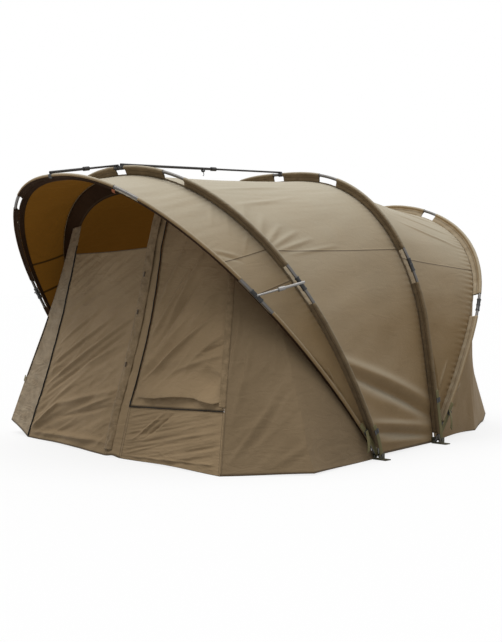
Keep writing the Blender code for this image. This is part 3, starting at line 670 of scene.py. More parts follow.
@lru_cache(maxsize=None)
def crumple_group():
    """Heights of the small crumples that packing leaves in coated cloth, drawn out along one direction."""
    tree, given, out = group(
        "crumples", (("Place", "NodeSocketVector", None), ("Scale", "NodeSocketFloat", 9.0)),
        (("Height", "NodeSocketFloat"),))
    slanted = socket_of(tree, "ShaderNodeMapping", {
        "Vector": given.outputs["Place"], "Rotation": (0.5, 0.35, 0.2), "Scale": (0.55, 0.55, 1.6)})
    folds = socket_of(tree, "ShaderNodeTexNoise", {
        "Vector": slanted.outputs[0], "Scale": given.outputs["Scale"], "Detail": 4.0, "Roughness": 0.55,
        "Distortion": 0.6})
    ridges = math(tree, "ABSOLUTE", math(tree, "SUBTRACT", folds.outputs["Fac"], 0.5))
    tree.links.new(math(tree, "MULTIPLY", ridges, 2.0), out.inputs["Height"])
    return tree


@lru_cache(maxsize=None)
def seam_group():
    """A sewn line from the distance to it: the dark tape or thread, and the ridge that it makes."""
    tree, given, out = group(
        "sewn_line", (("Distance", "NodeSocketFloat", 1.0), ("Half Width", "NodeSocketFloat", 0.004)),
        (("Thread", "NodeSocketFloat"), ("Ridge", "NodeSocketFloat")))
    distance = math(tree, "ABSOLUTE", given.outputs["Distance"])
    share = math(tree, "DIVIDE", distance, given.outputs["Half Width"])
    tree.links.new(eased(tree, share, 0.5, 1.1, 1.0, 0.0), out.inputs["Thread"])
    tree.links.new(eased(tree, share, 0.0, 3.0, 1.0, 0.0), out.inputs["Ridge"])
    return tree


def placed(tree, made, **inputs):
    """Puts a node group into a material."""
    node = tree.nodes.new("ShaderNodeGroup")
    node.node_tree = made
    for key, value in inputs.items():
        title = key.replace("_", " ")
        if isinstance(value, bpy.types.NodeSocket):
            tree.links.new(value, node.inputs[title])
        else:
            node.inputs[title].default_value = value
    return node


def start_material(name, roughness, metallic=0.0):
    made = bpy.data.materials.new(name)
    made.use_nodes = True
    tree = made.node_tree
    shader = tree.nodes["Principled BSDF"]
    shader.inputs["Roughness"].default_value = roughness
    shader.inputs["Metallic"].default_value = metallic
    return made, tree, shader


def mixed(tree, share, first, second):
    """A colour between two, each a socket or three numbers."""
    node = socket_of(tree, "ShaderNodeMix", {"Factor": share}, data_type="RGBA")
    for index, value in ((6, first), (7, second)):
        if isinstance(value, bpy.types.NodeSocket):
            tree.links.new(value, node.inputs[index])
        else:
            node.inputs[index].default_value = (*value, 1.0)
    return node.outputs[2]


def roughened(tree, shader, share, roughness, smoother, rougher):
    """Lets the roughness wander round its value with a share from 0 to 1."""
    rough = socket_of(tree, "ShaderNodeMapRange", {
        "Value": share, "To Min": roughness - smoother, "To Max": roughness + rougher})
    tree.links.new(rough.outputs[0], shader.inputs["Roughness"])


def toned(value, share):
    return [part * share for part in value]


def cloth_material(name, main, shade, thread, roughness=0.72, sheen=0.04, crumple=0.0022, patches=2.6,
                   specular=0.22, pale=None, seam=0.0045, glow=None):
    """Coated woven cloth, with sewn lines and a hem where the piece marks them."""
    if name in bpy.data.materials:
        return bpy.data.materials[name]
    made, tree, shader = start_material(name, roughness)
    shader.inputs["Sheen Weight"].default_value = sheen
    shader.inputs["Sheen Roughness"].default_value = 0.5
    shader.inputs["Sheen Tint"].default_value = (0.92, 0.90, 0.84, 1.0)
    shader.inputs["Specular IOR Level"].default_value = specular
    place = tree.nodes.new("ShaderNodeTexCoord").outputs["Object"]
    cloth_map = socket_of(tree, "ShaderNodeUVMap", uv_map="cloth").outputs["UV"]

    def marked(key):
        return socket_of(tree, "ShaderNodeAttribute", attribute_name=key).outputs["Fac"]

    weather = placed(tree, weather_group(), Place=place, Scale=patches)
    line = placed(tree, seam_group(), Distance=marked("sewn"), Half_Width=seam)
    stitched = placed(tree, seam_group(), Distance=marked("edge"), Half_Width=STITCH_LINE)
    turn_up = placed(tree, seam_group(), Distance=marked("hem"), Half_Width=HEM_LINE)
    body = mixed(tree, weather.outputs["Patches"], main, shade)
    # painted top light: the cloth is mixed towards the pale colour as far as it faces the sky
    if pale:
        uneven = math(tree, "MULTIPLY_ADD", weather.outputs["Patches"], 0.12, 0.90)
        body = mixed(tree, math(tree, "MULTIPLY", marked("painted_top_light"), uneven), body, pale)
    specks = math(tree, "MULTIPLY", weather.outputs["Specks"], 0.10)
    body = mixed(tree, specks, body, thread)
    lines = math(tree, "MAXIMUM", math(tree, "MULTIPLY", line.outputs["Thread"], 0.75),
                 math(tree, "MULTIPLY", stitched.outputs["Thread"], 0.45))
    turned_up = math(tree, "MULTIPLY", turn_up.outputs["Thread"], 0.70)
    body = mixed(tree, math(tree, "MAXIMUM", lines, turned_up), body, thread)
    tree.links.new(body, shader.inputs["Base Color"])
    if glow:
        shader.inputs["Emission Strength"].default_value = 1.0
        tree.links.new(mixed(tree, lines, glow, (0.0, 0.0, 0.0)), shader.inputs["Emission Color"])
    roughened(tree, shader, weather.outputs["Patches"], roughness, 0.06, 0.08)
    folds = placed(tree, crumple_group(), Place=place, Scale=9.0)
    ridge = math(tree, "MAXIMUM", line.outputs["Ridge"], stitched.outputs["Ridge"])
    ridge = math(tree, "MAXIMUM", ridge, turn_up.outputs["Ridge"])
    weave = placed(tree, weave_group(), Map=cloth_map, Threads=CLOTH_THREADS)
    soft = bumped(tree, folds.outputs["Height"], crumple)
    sewn = bumped(tree, ridge, 0.0012, below=soft)
    fine = bumped(tree, weave.outputs["Height"], 0.00012, 0.5, sewn)
    tree.links.new(fine, shader.inputs["Normal"])
    return made


def solid_material(name, main, worn, roughness, metallic=0.0, grain=(60.0, 60.0, 60.0), depth=0.0002):
    """Anodised metal or moulded plastic: a fine grain, and patches that are worn paler and smoother."""
    if name in bpy.data.materials:
        return bpy.data.materials[name]
    made, tree, shader = start_material(name, roughness, metallic)
    place = tree.nodes.new("ShaderNodeTexCoord").outputs["Object"]
    weather = placed(tree, weather_group(), Place=place, Scale=7.0)
    tree.links.new(mixed(tree, weather.outputs["Patches"], main, worn), shader.inputs["Base Color"])
    roughened(tree, shader, weather.outputs["Specks"], roughness, 0.08, 0.10)
    drawn = socket_of(tree, "ShaderNodeMapping", {"Vector": place, "Scale": grain})
    lines = socket_of(tree, "ShaderNodeTexNoise", {"Vector": drawn.outputs[0], "Scale": 5.0, "Detail": 4.0})
    tree.links.new(bumped(tree, lines.outputs["Fac"], depth, 0.4), shader.inputs["Normal"])
    return made


def tape_material(name, main, rib, pitch, roughness=0.75):
    """Woven webbing or zip tape, with ribs across its length at the given pitch."""
    if name in bpy.data.materials:
        return bpy.data.materials[name]
    made, tree, shader = start_material(name, roughness)
    shader.inputs["Specular IOR Level"].default_value = 0.25
    cloth_map = socket_of(tree, "ShaderNodeUVMap", uv_map="cloth").outputs["UV"]
    weave = placed(tree, weave_group(), Map=cloth_map, Threads=1 / pitch)
    place = tree.nodes.new("ShaderNodeTexCoord").outputs["Object"]
    weather = placed(tree, weather_group(), Place=place, Scale=14.0)
    share = math(tree, "MULTIPLY", weave.outputs["Height"], 0.5)
    worn = math(tree, "MULTIPLY_ADD", weather.outputs["Patches"], 0.3, share)
    tree.links.new(mixed(tree, worn, main, rib), shader.inputs["Base Color"])
    roughened(tree, shader, weather.outputs["Patches"], roughness, 0.05, 0.08)
    tree.links.new(bumped(tree, weave.outputs["Height"], pitch / 4, 0.8), shader.inputs["Normal"])
    return made


def canopy_cloth():
    tint = colours()
    return cloth_material("canopy_cloth", tint.canopy, tint.canopy_shade, tint.thread, pale=tint.pale)


# the lining's strong amber, with its glow, paints the daylight that comes through the canopy
def canopy_lining():
    tint = colours()
    return cloth_material("canopy_lining", tint.lining, toned(tint.lining, 0.82), tint.zips, roughness=0.7,
                          sheen=0.0, crumple=0.002, specular=0.03, seam=0.0110, glow=tint.glow)


def front_cloth():
    tint = colours()
    return cloth_material("front_cloth", tint.front, toned(tint.front, 0.90), tint.thread, crumple=0.005)


# painted shade: the wings take the front cloth darkened to 0.70, a shaded copy of it that holds down the
# sides turned to the key light
def wing_cloth():
    tint = colours()
    return cloth_material("wing_cloth", toned(tint.front, 0.70), toned(tint.front, 0.65), tint.thread,
                          crumple=0.004)


def post_cloth():
    tint = colours()
    return cloth_material("post_cloth", tint.post, toned(tint.post, 0.80), tint.thread, crumple=0.009,
                          patches=16.0, pale=tint.pale)


def pocket_cloth():
    tint = colours()
    return cloth_material("pocket_cloth", tint.pocket, toned(tint.pocket, 0.82), tint.thread, crumple=0.006,
                          patches=9.0, pale=tint.pale)


def band_cloth():
    tint = colours()
    return cloth_material("band_cloth", toned(tint.front, 0.86), toned(tint.front, 0.68), tint.thread,
                          crumple=0.009, patches=20.0)


def facing_cloth():
    tint = colours()
    return cloth_material("facing_cloth", tint.facing, toned(tint.facing, 0.75), tint.thread, roughness=0.8,
                          sheen=0.0, specular=0.08)


def pole_metal():
    tint = colours().pole
    return solid_material("pole_metal", tint, toned(tint, 1.25), 0.34, 0.85, (8.0, 8.0, 60.0))


def bar_metal():
    tint = colours().bar
    return solid_material("bar_metal", tint, toned(tint, 1.1), 0.36, 0.8, (8.0, 60.0, 60.0))


def dark_bar_metal():
    tint = colours().dark_bar
    return solid_material("dark_bar_metal", tint, toned(tint, 1.5), 0.42, 0.5, (60.0, 8.0, 60.0))


def pin_steel():
    tint = colours().bar
    return solid_material("pin_steel", toned(tint, 0.3), toned(tint, 0.4), 0.5, 0.8, (60.0, 8.0, 60.0))


def black_plastic():
    tint = colours().plastic
    return solid_material("black_plastic", tint, toned(tint, 1.6), 0.46, depth=0.0004)


def hub_plastic():
    tint = colours().webbing
    return solid_material("hub_plastic", toned(tint, 0.34), toned(tint, 0.5), 0.55, depth=0.0004)


def toggle_plastic():
    tint = colours().thread
    return solid_material("toggle_plastic", tint, toned(tint, 1.4), 0.5)


def slider_lacquer():
    return solid_material("slider_lacquer", (0.016, 0.015, 0.014), (0.05, 0.05, 0.05), 0.35, 0.6)


def strap_webbing():
    tint = colours().webbing
    return tape_material("strap_webbing", tint, toned(tint, 1.7), 0.0018)


def tab_tape():
    tint = colours().tab
    return tape_material("tab_tape", tint, toned(tint, 0.6), 0.0015)


def zip_tape():
    tint = colours().zips
    return tape_material("zip_tape", tint, toned(tint, 1.8), 0.0030, 0.7)


# Cloth shapes


def gathers(distance, inset, seed, pitch=0.045, reach=0.045):
    """Small puckers that run square to a sewn edge and die away from it, flat on the stitching itself."""
    swell = 0.35 + 0.9 * abs(noise.noise(Vector((distance * 2.3, seed, 0.3))))
    wander = 2.2 * noise.noise(Vector((distance * 4.1, 7.0, seed)))
    wave = exp(-inset / reach) * swell * sin(2 * pi * distance / pitch + wander)
    return sizes().pucker * min(1.0, inset / STITCH_WIDTH) * wave


def drawn_out(x, y, angle, length, width, seed):
    """Smooth noise drawn out along one direction, as slack cloth folds under tension."""
    along = (x * cos(angle) + y * sin(angle)) / length
    across = (y * cos(angle) - x * sin(angle)) / width
    return noise.noise(Vector((along, across, seed)))


def crested(value, sharp):
    """Turns smooth noise into narrow crests with wide hollows between."""
    return max(0.0, 1 - abs(value) * 3.2) ** sharp


def smooth(value):
    """0 below 0, 1 above 1 and an even rise between."""
    value = min(1.0, max(0.0, value))
    return value * value * (3 - 2 * value)


def fold(x, y, start, end, width):
    """One long fold from start to end: a rounded crest that fades at both ends."""
    a, b = Vector(start), Vector(end)
    way = b - a
    spot = Vector((x, y)) - a
    along = spot.dot(way) / way.length_squared
    if not 0 < along < 1:
        return 0.0
    across = (spot - way * along).length / width
    return exp(-across * across) * sin(pi * along) ** 0.7


# Folds of the canopy bays on each side: metres up along the cloth from the ground, and the share of the way
# from the front rib to the rear one, as start, end, half width and depth; a negative depth stands out
MAIN_FOLDS = (
    ((0.74, -0.14), (0.26, 1.06), 0.044, -0.020),
    ((0.62, -0.06), (0.18, 1.02), 0.044, 0.034),
    ((0.44, 0.10), (0.20, 0.80), 0.060, -0.010),
    ((0.24, 0.04), (0.11, 1.00), 0.026, -0.014),
    ((0.165, 0.04), (0.065, 0.98), 0.026, 0.024),
    ((0.09, 0.10), (0.045, 0.90), 0.018, -0.008),
    ((1.47, 0.00), (1.66, 0.26), 0.016, -0.0075),
    ((1.45, 0.00), (1.60, 0.34), 0.015, -0.0070),
    ((1.43, 0.02), (1.53, 0.40), 0.014, -0.0060),
    ((1.52, 0.00), (1.76, 0.22), 0.018, -0.0060),
    ((1.64, 0.00), (1.90, 0.20), 0.020, -0.0050),
    ((1.41, 0.12), (1.46, 0.55), 0.012, -0.0040),
    ((1.85, 0.08), (1.95, 0.60), 0.020, -0.005),
    ((2.05, 0.05), (2.16, 0.70), 0.022, -0.005),
)
HOOD_FOLDS = (
    ((1.97, 1.00), (1.78, 0.60), 0.011, -0.0045),
    ((1.84, 1.00), (1.66, 0.66), 0.010, -0.0040),
    ((1.64, 1.00), (1.50, 0.55), 0.010, -0.0040),
    ((1.62, 0.10), (1.50, 0.48), 0.010, -0.0035),
    ((1.58, 0.10), (1.46, 0.44), 0.010, 0.0035),
    ((0.80, 0.10), (0.36, 0.42), 0.018, 0.008),
    ((0.62, 0.42), (0.30, 0.14), 0.014, -0.007),
)
REAR_FOLDS = (
    ((0.66, 0.05), (0.16, 0.62), 0.020, 0.014),
    ((0.50, 0.72), (0.16, 0.42), 0.018, -0.011),
    ((0.36, 0.10), (0.14, 0.34), 0.016, 0.010),
    ((1.62, 0.30), (1.50, 0.95), 0.012, -0.007),
    ((1.78, 0.40), (1.66, 0.96), 0.012, -0.007),
    ((1.95, 0.50), (1.86, 0.96), 0.012, -0.007),
)
BACK_FOLDS = (
    ((0.30, 0.06), (0.62, 0.26), 0.030, -0.026),
    ((0.22, 0.10), (0.70, 0.34), 0.034, 0.028),
    ((0.16, 0.16), (0.62, 0.44), 0.030, -0.024),
    ((0.40, 0.08), (0.95, 0.16), 0.040, 0.018),
    ((0.10, 0.20), (0.50, 0.60), 0.026, 0.020),
)


def folds_at(x, y, width, height, folds):
    """The sum of folds that are given in shares of a panel's width and height."""
    total = 0.0
    for start, end, half, depth in folds:
        a, b = ((spot[0] * width, spot[1] * height) for spot in (start, end))
        total += depth * fold(x * width, y * height, a, b, half)
    return total


def seam_distance(name, front, rear, v, share_here):
    """The signed distance to the nearest panel seam. The sign turns at each next seam, to leave no step."""
    length = arch(front)[2]
    spots = []
    for radius_a, radius_b in BAY_SEAMS[name]:
        for side in (-1, 1):
            a = share_at(front, radius_a, side)
            b = share_at(rear, radius_b, side)
            spots.append(a + (b - a) * v)
    spots.sort()
    index = min(range(len(spots)), key=lambda i: abs(share_here - spots[i]))
    return (share_here - spots[index]) * length * (-1) ** index


def bay(name, node, front, rear, follows, grounded, grid, folds, seed, rear_gather=1.0):
    """A canopy bay between two ribs, sunk between them and gathered along its seams."""
    foot = 0.0 if grounded else BAY_FOOT
    start_a, start_b = share_at(front, foot, -1), share_at(rear, foot, -1)
    length = arch(front)[2]
    width = (rib_at(front, 0.5) - rib_at(rear, 0.5)).length

    def place(u, v):
        share_a, share_b = between_feet(start_a, u), between_feet(start_b, u)
        point = under_web(front, share_a, -1).lerp(under_web(rear, share_b, 1), v)
        inner = (inwards(front, share_a) + inwards(rear, share_b)).normalized()
        up = min(u, 1 - u) * length
        back = v * width
        side = 1 if u > 0.5 else -1
        slack = 4 * v * (1 - v)
        depth = sizes().bay_sag * slack * sin(pi * u)
        near = min(v, 1 - v) * width
        tight = rear_gather if v > 0.5 else 1.0
        depth += tight * gathers(u * length, near, seed, reach=0.045 * tight)
        depth += 0.0045 * slack * drawn_out(up, back, radians(76), 0.55, 0.15, seed + side)
        level = min(1.0, max(0.0, (up - ROOF_FROM) / ROOF_RISE))
        depth += 0.0030 * slack * level * drawn_out(up, back, radians(90), 0.60, 0.045, seed + 3 + side)
        depth += folds_at(up + 0.02 * side, v, 1.0, width, folds)
        if grounded:
            low = max(0.0, 1 - up / HEM_DROP_REACH)
            point.z -= (FRONT_PIN.z - HEM_HEIGHT) * low
            depth *= min(1.0, up / HEM_CALM)
        return point + inner * depth

    def sewn(u, v):
        share_a, share_b = between_feet(start_a, u), between_feet(start_b, u)
        return seam_distance(name, front, rear, v, share_a + (share_b - share_a) * v)

    marks = {
        "sewn": sewn,
        "edge": lambda u, v: min(v, 1 - v) * width - STITCH_WIDTH,
        "hem": (lambda u, v: min(u, 1 - u) * length) if grounded else no_line,
        "back": lambda u, v: v,
    }
    sewn_to = [f"{front}_pocket", f"{rear}_pocket"]
    obj = cloth_piece(name, grid, place, (length, width), marks, "canopy", sewn_to, canopy_cloth(),
                      canopy_lining(), node=node)
    follow_edges(obj, *follows)


def hood_band():
    """The dark band inside the hood, behind its front edge: dark facing cloth that paints the shade on the
    hood's unlit inner side.
    """
    start_a, start_b = share_at("rib_1", BAY_FOOT, -1), share_at("rib_2", BAY_FOOT, -1)
    length, width = arch("rib_1")[2], 0.042
    gap = (rib_at("rib_1", 0.5) - rib_at("rib_2", 0.5)).length

    def place(u, v):
        share_a, share_b = between_feet(start_a, u), between_feet(start_b, u)
        edge = rib_at("rib_1", share_a, HOOD_TAIL - 0.003, -SEAM_STEP)
        inner = (inwards("rib_1", share_a) + inwards("rib_2", share_b)).normalized()
        wave = noise.noise(Vector((u * length * 9, 4.0, 2.0)))
        point = edge.lerp(under_web("rib_2", share_b, 1), v * width / gap)
        return point + inner * (0.0035 + 0.0045 * v + 0.0012 * wave * sin(pi * v))

    marks = {"edge": lambda u, v: (1 - v) * width - 0.004}
    cloth_piece("hood_edge_band", (300, 4), place, (length, width), marks, "pocket", ["rib_1_pocket"],
                facing_cloth(), body="rib_1", painted_top_light=False)


def follow_edges(obj, still, moving, moving_edge):
    """Bakes the cloth's place into its mesh and reads the back mark of each point. The edge that moves, 0 for
    the front or 1, is not used.
    """
    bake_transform(obj)
    back = np.empty(len(obj.data.vertices), np.float32)
    obj.data.attributes["back"].data.foreach_get("value", back)


def back_wall():
    """The rear wall, from the last rib's seam out to its ground pegs."""
    start = share_at("rib_4", SEAM_FOOT_RADIUS, -1)
    corners = [(-x, y) for x, y in BACK_GROUND] + list(reversed(BACK_GROUND))
    length, height = arch("rib_4")[2], 1.55
    flare, scallop = 0.060, 0.014

    def pegs(u):
        """0 at a peg, 1 midway between two."""
        gaps = zip(BACK_CORNER_SHARES, BACK_CORNER_SHARES[1:])
        return max(sin(pi * (u - low) / (high - low)) for low, high in gaps if low <= u <= high)

    def place(u, v):
        top = under_web("rib_4", between_feet(start, u), -1)
        foot = ground([float(np.interp(u, BACK_CORNER_SHARES, line)) for line in zip(*corners)])
        tip = max(0.0, 1 - min(abs(u - corner) for corner in BACK_TIPS) / BACK_TIP_REACH)
        foot.z += BACK_TIP_LIFT * tip ** 1.5
        point = top.lerp(foot, v)
        loose = sin(pi * v) * sin(pi * u)
        point.y -= flare * loose
        up, down = min(u, 1 - u) * length, v * (top - foot).length
        side = 1 if u > 0.5 else -1
        depth = gathers(u * length, down, 4.4)
        depth += 0.010 * loose * drawn_out(up, down, radians(80), 0.5, 0.14, 12.0 + side)
        depth += folds_at(up, v, 1.0, height, BACK_FOLDS) * min(1.0, (1 - v) * 6)
        out = (point - ORIGIN - Vector((0, 1.0, 0.4))).normalized()
        point -= out * depth
        point.z += scallop * pegs(u) * max(0.0, v * 8 - 7)
        return point

    marks = {
        "edge": lambda u, v: v * height - STITCH_WIDTH,
        "hem": lambda u, v: (1 - v) * height,
        "back": lambda u, v: v,
    }
    obj = cloth_piece("back_canopy", (260, 70), place, (length, height), marks, "canopy", ["rib_4_pocket"],
                      canopy_cloth(), canopy_lining(), node="back_wall", inside=INSIDE + Vector((0, 0.8, 0)))
    follow_edges(obj, "ground_frame", "rib_4", 0)


# Poles and pockets


def windows_of(name):
    """The cut-outs of a rib's pocket, as spans of shares."""
    length = arch(name)[2]
    spans = []
    for radius, half in WINDOWS[name]:
        if radius == "crown":
            middles = [0.5]
        else:
            left = joint(name)[0] if radius == "joint" else share_at(name, radius, -1)
            middles = [left, 1 - left]
        spans += [(middle - half / length, middle + half / length) for middle in middles]
    return sorted(spans)


def pocket_section(name):
    """The pocket cut across: down one side of the web, round the pole and up the other side."""
    bore, web, strip = sizes().pocket_bore, RIBS[name]["web"], HEM_STRIPS[name]
    mouth = bore * POCKET_MOUTH
    down = [web, web - strip] + [mouth + (web - strip - mouth) * share for share in WEB_ROWS]
    half = [(-WEB_HALF_GAP - WEB_TAPER * i * (i < 3), inset) for i, inset in enumerate(down)]
    ring = [(bore * sin(angle), -bore * cos(angle)) for angle in map(radians, POCKET_ANGLES)]
    return half + ring + [(-ahead, inset) for ahead, inset in reversed(half)], down[-1]


def pocket(name):
    """The pole pocket: a doubled web that stands on the canopy seam and wraps round the pole."""
    rib = RIBS[name]
    length = arch(name)[2]
    start = share_at(name, POCKET_FEET[name], -1)
    spans = windows_of(name)
    count = round(length * (1 - 2 * start) / POCKET_STEP)
    ends = {end for span in spans for end in span}
    shares = sorted({start + (1 - 2 * start) * i / count for i in range(count + 1)} | ends)
    bore, web = sizes().pocket_bore, rib["web"]
    section, stitching = pocket_section(name)
    last, columns = len(section) - 1, len(shares) - 1
    round_length = sum((Vector(q) - Vector(p)).length for p, q in zip(section, section[1:]))

    def place(u, v):
        share = shares[round(u * columns)]
        ahead, inset = section[round(v * last)]
        distance = share * length
        slack = max(0.0, min(1.0, (inset - bore) / (web - bore)))
        belly = 4 * slack * (1 - slack)
        wave = noise.noise(Vector((distance * 22, rib["lean"] * 9, 1.0 if v < 0.5 else 5.0)))
        tuck = noise.noise(Vector((distance * 60, 3.0, rib["lean"])))
        ahead += (0.0060 * wave + 0.0025 * tuck) * belly
        if slack == 0:
            ahead *= 1 + 0.05 * wave
            inset *= 1 + 0.05 * wave
        else:
            inset += 0.0015 * wave * belly
        return rib_at(name, share, inset, ahead)

    def stitched(u, v):
        return section[round(v * last)][1] - stitching

    mesh = laid(columns, last, place, (length, round_length), {"edge": stitched})
    gone = []
    for index, face in enumerate(mesh.faces):
        row, column = divmod(index, columns)
        middle = (shares[column] + shares[column + 1]) / 2
        if 0 < row < last - 1 and any(low < middle < high for low, high in spans):
            gone.append(face)
        # the front side of the hood rib's web takes the dark facing cloth: painted shade of the hood's unlit
        # inner side
        if name == "rib_1" and row > last * HOOD_SHADED_FROM:
            face.material_index = 2
    area = sum(face.calc_area() for face in mesh.faces)
    bmesh.ops.delete(mesh, geom=gone, context="FACES")
    face_away(mesh, rib_at(name, 0.5, 0.9))
    paint_top_light(mesh)
    left = sum(face.calc_area() for face in mesh.faces)
    obj = wall(new_object(f"{name}_pocket", mesh), sizes().cloth, 0.0)
    # the third material, on rib_1 only, is the dark facing cloth as painted shade
    inner = facing_cloth() if name == "rib_1" else pocket_cloth()
    outer = canopy_cloth() if name in ("rib_1", "rib_4") else pocket_cloth()
    fitted(obj, "pocket", rib["body"], outer, outer, inner, node=f"{name}_sleeve")


def pole_line(name, first, last, step=0.02):
    count = max(2, round(abs(last - first) * arch(name)[2] / step))
    return [rib_at(name, first + (last - first) * i / count).copy() for i in range(count + 1)]


def poles(name):
    """Two legs and the crown pole, and the moulded joints between them."""
    radius, body = sizes().pole_radius, RIBS[name]["body"]
    spot = joint(name)[0]
    gap = POLE_JOINT_GAP / 2 / arch(name)[2]
    ends = (("left", spot, 0.0, spot - gap), ("right", 1 - spot, 1.0, 1 - spot + gap))
    for title, share, foot, end in ends:
        points = pole_line(name, foot, end)
        points[0] = points[0] + (points[0] - points[1]).normalized() * LEG_HEEL
        leg = tube(f"{name}_{title}_leg_tube", points, radius)
        collar = joint_collar(f"{name}_{title}_joint", rib_at(name, share), rib_along(name, share), radius)
        fitted(leg, "pole", body, pole_metal(), node=f"{name}_leg_{title}")
        fitted(collar, "collar", body, black_plastic(), node=f"{name}_connector_{title}")
    crown = tube(f"{name}_crown_tube", pole_line(name, spot + gap, 1 - spot - gap), radius)
    fitted(crown, "pole", body, pole_metal(), node=f"{name}_crown_pole")


def mirrored(rows):
    """A profile from its first half, with the other half its mirror image."""
    return rows + [(radius, -distance) for radius, distance in reversed(rows)]


def joint_collar(name, middle, along, bore):
    """A moulded collar with a flange at each end and a waist between."""
    inner, waist, flange, half, lip, round_off = bore + 0.0003, 0.0122, 0.0140, 0.043, 0.008, 0.001
    rows = [
        (inner, -half), (flange - round_off, -half), (flange, -half + round_off), (flange, -half + lip),
        (waist, -half + lip + 0.003), (waist, -0.006), (flange, -0.004),
    ]
    return turned(name, mirrored(rows), middle, along)


# The front


@lru_cache(maxsize=None)
def front_seams():
    """Each seam of the front, from the left hub to the right one."""
    def left(radius):
        return share_at("rib_2", radius, -1)

    def right(radius):
        return share_at("rib_2", radius, 1)

    seams = (
        ("hub_left", left(SEAM_FOOT_RADIUS), (-HUB_CORNER[0], HUB_CORNER[1]), WING_FOOT_INSET),
        ("wing_left", left(SEAM_WING_RADIUS), PEG_WING_LEFT, LEFT_STRIP_INSET, LEFT_STRIP_AHEAD),
        ("post_left", left(SEAM_POST_RADIUS), PEG_FRONT_LEFT),
        ("centre_left", share_at_x("rib_2", POST_TOP_LEFT), POST_FOOT_LEFT),
        ("centre_right", share_at_x("rib_2", POST_TOP_RIGHT), POST_FOOT_RIGHT),
        ("side_right", right(SEAM_SIDE_RADIUS), PEG_FRONT_RIGHT),
        ("wing_right", right(SEAM_SIDE_WING_RADIUS), PEG_WING_RIGHT),
        ("hub_right", right(SEAM_FOOT_RADIUS), HUB_CORNER, WING_FOOT_INSET),
    )
    return {key: Seam(*values) for key, *values in seams}


def seam_line(seam):
    """The seam as a straight line, from the facing down to the ground."""
    return rib_at("rib_2", seam.share, seam.inset, seam.ahead), ground(seam.foot)


def front_line(key):
    return seam_line(front_seams()[key])


def at_height(line, height):
    top, bottom = line
    return top.lerp(bottom, (top.z - height) / (top.z - bottom.z))


def bow(point):
    """How the slack cloth beside the two long zips is drawn to the right."""
    total = 0.0
    for foot, top, low, high, amount in BOWS:
        rise = min(1.0, max(0.0, (point.z - low) / (high - low)))
        seam = MIDDLE_X + foot + (top - foot) * point.z / BOW_TOP
        total += amount * exp(-((point.x - seam) / BOW_REACH) ** 2) * sin(pi * rise)
    return Vector((total, 0, 0))


def door_creases(across, down, u, v, seed, slope=32.0):
    """Slanted creases that climb to the right, calmer at the sewn edges."""
    calm = min(1.0, min(u, 1 - u) * 12) * min(1.0, min(v, 1 - v) * 14 + 0.2)
    angle = radians(-slope)
    wide = drawn_out(across, down, angle, 0.95, 0.125, seed)
    ropes = drawn_out(across, down, angle + 0.08, 0.62, 0.052, seed + 4)
    taut = 0.35 + 0.65 * abs(noise.noise(Vector((across * 2.2, down * 1.8, seed + 9)))) * 2
    narrow = crested(drawn_out(across, down, angle - 0.06, 0.50, 0.110, seed + 7), 1.5)
    return calm * (wide + 0.85 * taut * ropes + 0.30 * narrow)


def wing_creases(across, down, u, v, seed):
    return 0.60 * door_creases(across, down, u, v, seed, 44.0)


def post_creases(across, down, u, v, seed):
    return 0.35 * sin(pi * u) * noise.noise(Vector((across * 6, down * 16, seed)))


# Folds of the doors, as shares of the width from the left and of the height from the top: start, end, half
# width and depth in metres; a positive depth stands out
LOWERED_DOOR_FOLDS = (
    ((0.03, 0.71), (0.97, 0.33), 0.017, 0.025),
    ((0.05, 0.77), (0.97, 0.39), 0.020, -0.0175),
    ((0.04, 0.60), (0.78, 0.32), 0.016, 0.0175),
    ((0.07, 0.49), (0.62, 0.27), 0.016, 0.015),
    ((0.08, 0.36), (0.97, 0.10), 0.034, 0.01375),
    ((0.02, 0.94), (0.32, 0.78), 0.017, 0.02125),
    ((0.26, 0.80), (0.98, 0.68), 0.022, 0.02),
    ((0.30, 0.87), (0.98, 0.76), 0.018, -0.0125),
    ((0.55, 0.81), (0.98, 0.71), 0.012, 0.0125),
    ((0.02, 0.965), (0.99, 0.935), 0.020, 0.02),
    ((0.45, 0.61), (0.97, 0.44), 0.015, 0.015),
    ((0.10, 0.85), (0.62, 0.58), 0.020, 0.01125),
)
CLOSED_DOOR_FOLDS = (
    ((0.05, 0.67), (0.44, 0.29), 0.018, 0.0252),
    ((0.12, 0.72), (0.54, 0.33), 0.018, -0.0168),
    ((0.21, 0.59), (0.58, 0.19), 0.018, 0.0224),
    ((0.03, 0.89), (0.86, 0.46), 0.012, 0.0196),
    ((0.07, 0.51), (0.31, 0.21), 0.020, 0.0182),
    ((0.48, 0.61), (0.92, 0.29), 0.024, 0.0168),
    ((0.58, 0.76), (0.97, 0.55), 0.015, 0.0154),
    ((0.72, 0.70), (0.97, 0.62), 0.012, -0.0112),
    ((0.30, 0.84), (0.97, 0.68), 0.016, 0.0112),
)
WING_FOLDS = (
    ((0.02, 0.62), (0.09, 0.30), 0.016, 0.012),
    ((0.05, 0.80), (0.20, 0.40), 0.022, 0.014),
    ((0.03, 0.97), (0.34, 0.66), 0.018, 0.012),
    ((0.12, 0.93), (0.46, 0.58), 0.024, -0.010),
    ((0.24, 0.98), (0.66, 0.80), 0.026, 0.011),
    ((0.46, 0.94), (0.90, 0.72), 0.024, 0.009),
    ((0.30, 0.62), (0.44, 0.36), 0.030, 0.007),
)
SILL_FOLDS = (
    ((0.10, 0.62), (0.40, 0.06), 0.013, 0.014),
    ((0.20, 0.60), (0.50, 0.06), 0.013, -0.0112),
    ((0.02, 0.90), (0.45, 0.60), 0.016, 0.0084),
    ((0.02, 0.93), (0.98, 0.84), 0.014, 0.0126),
)


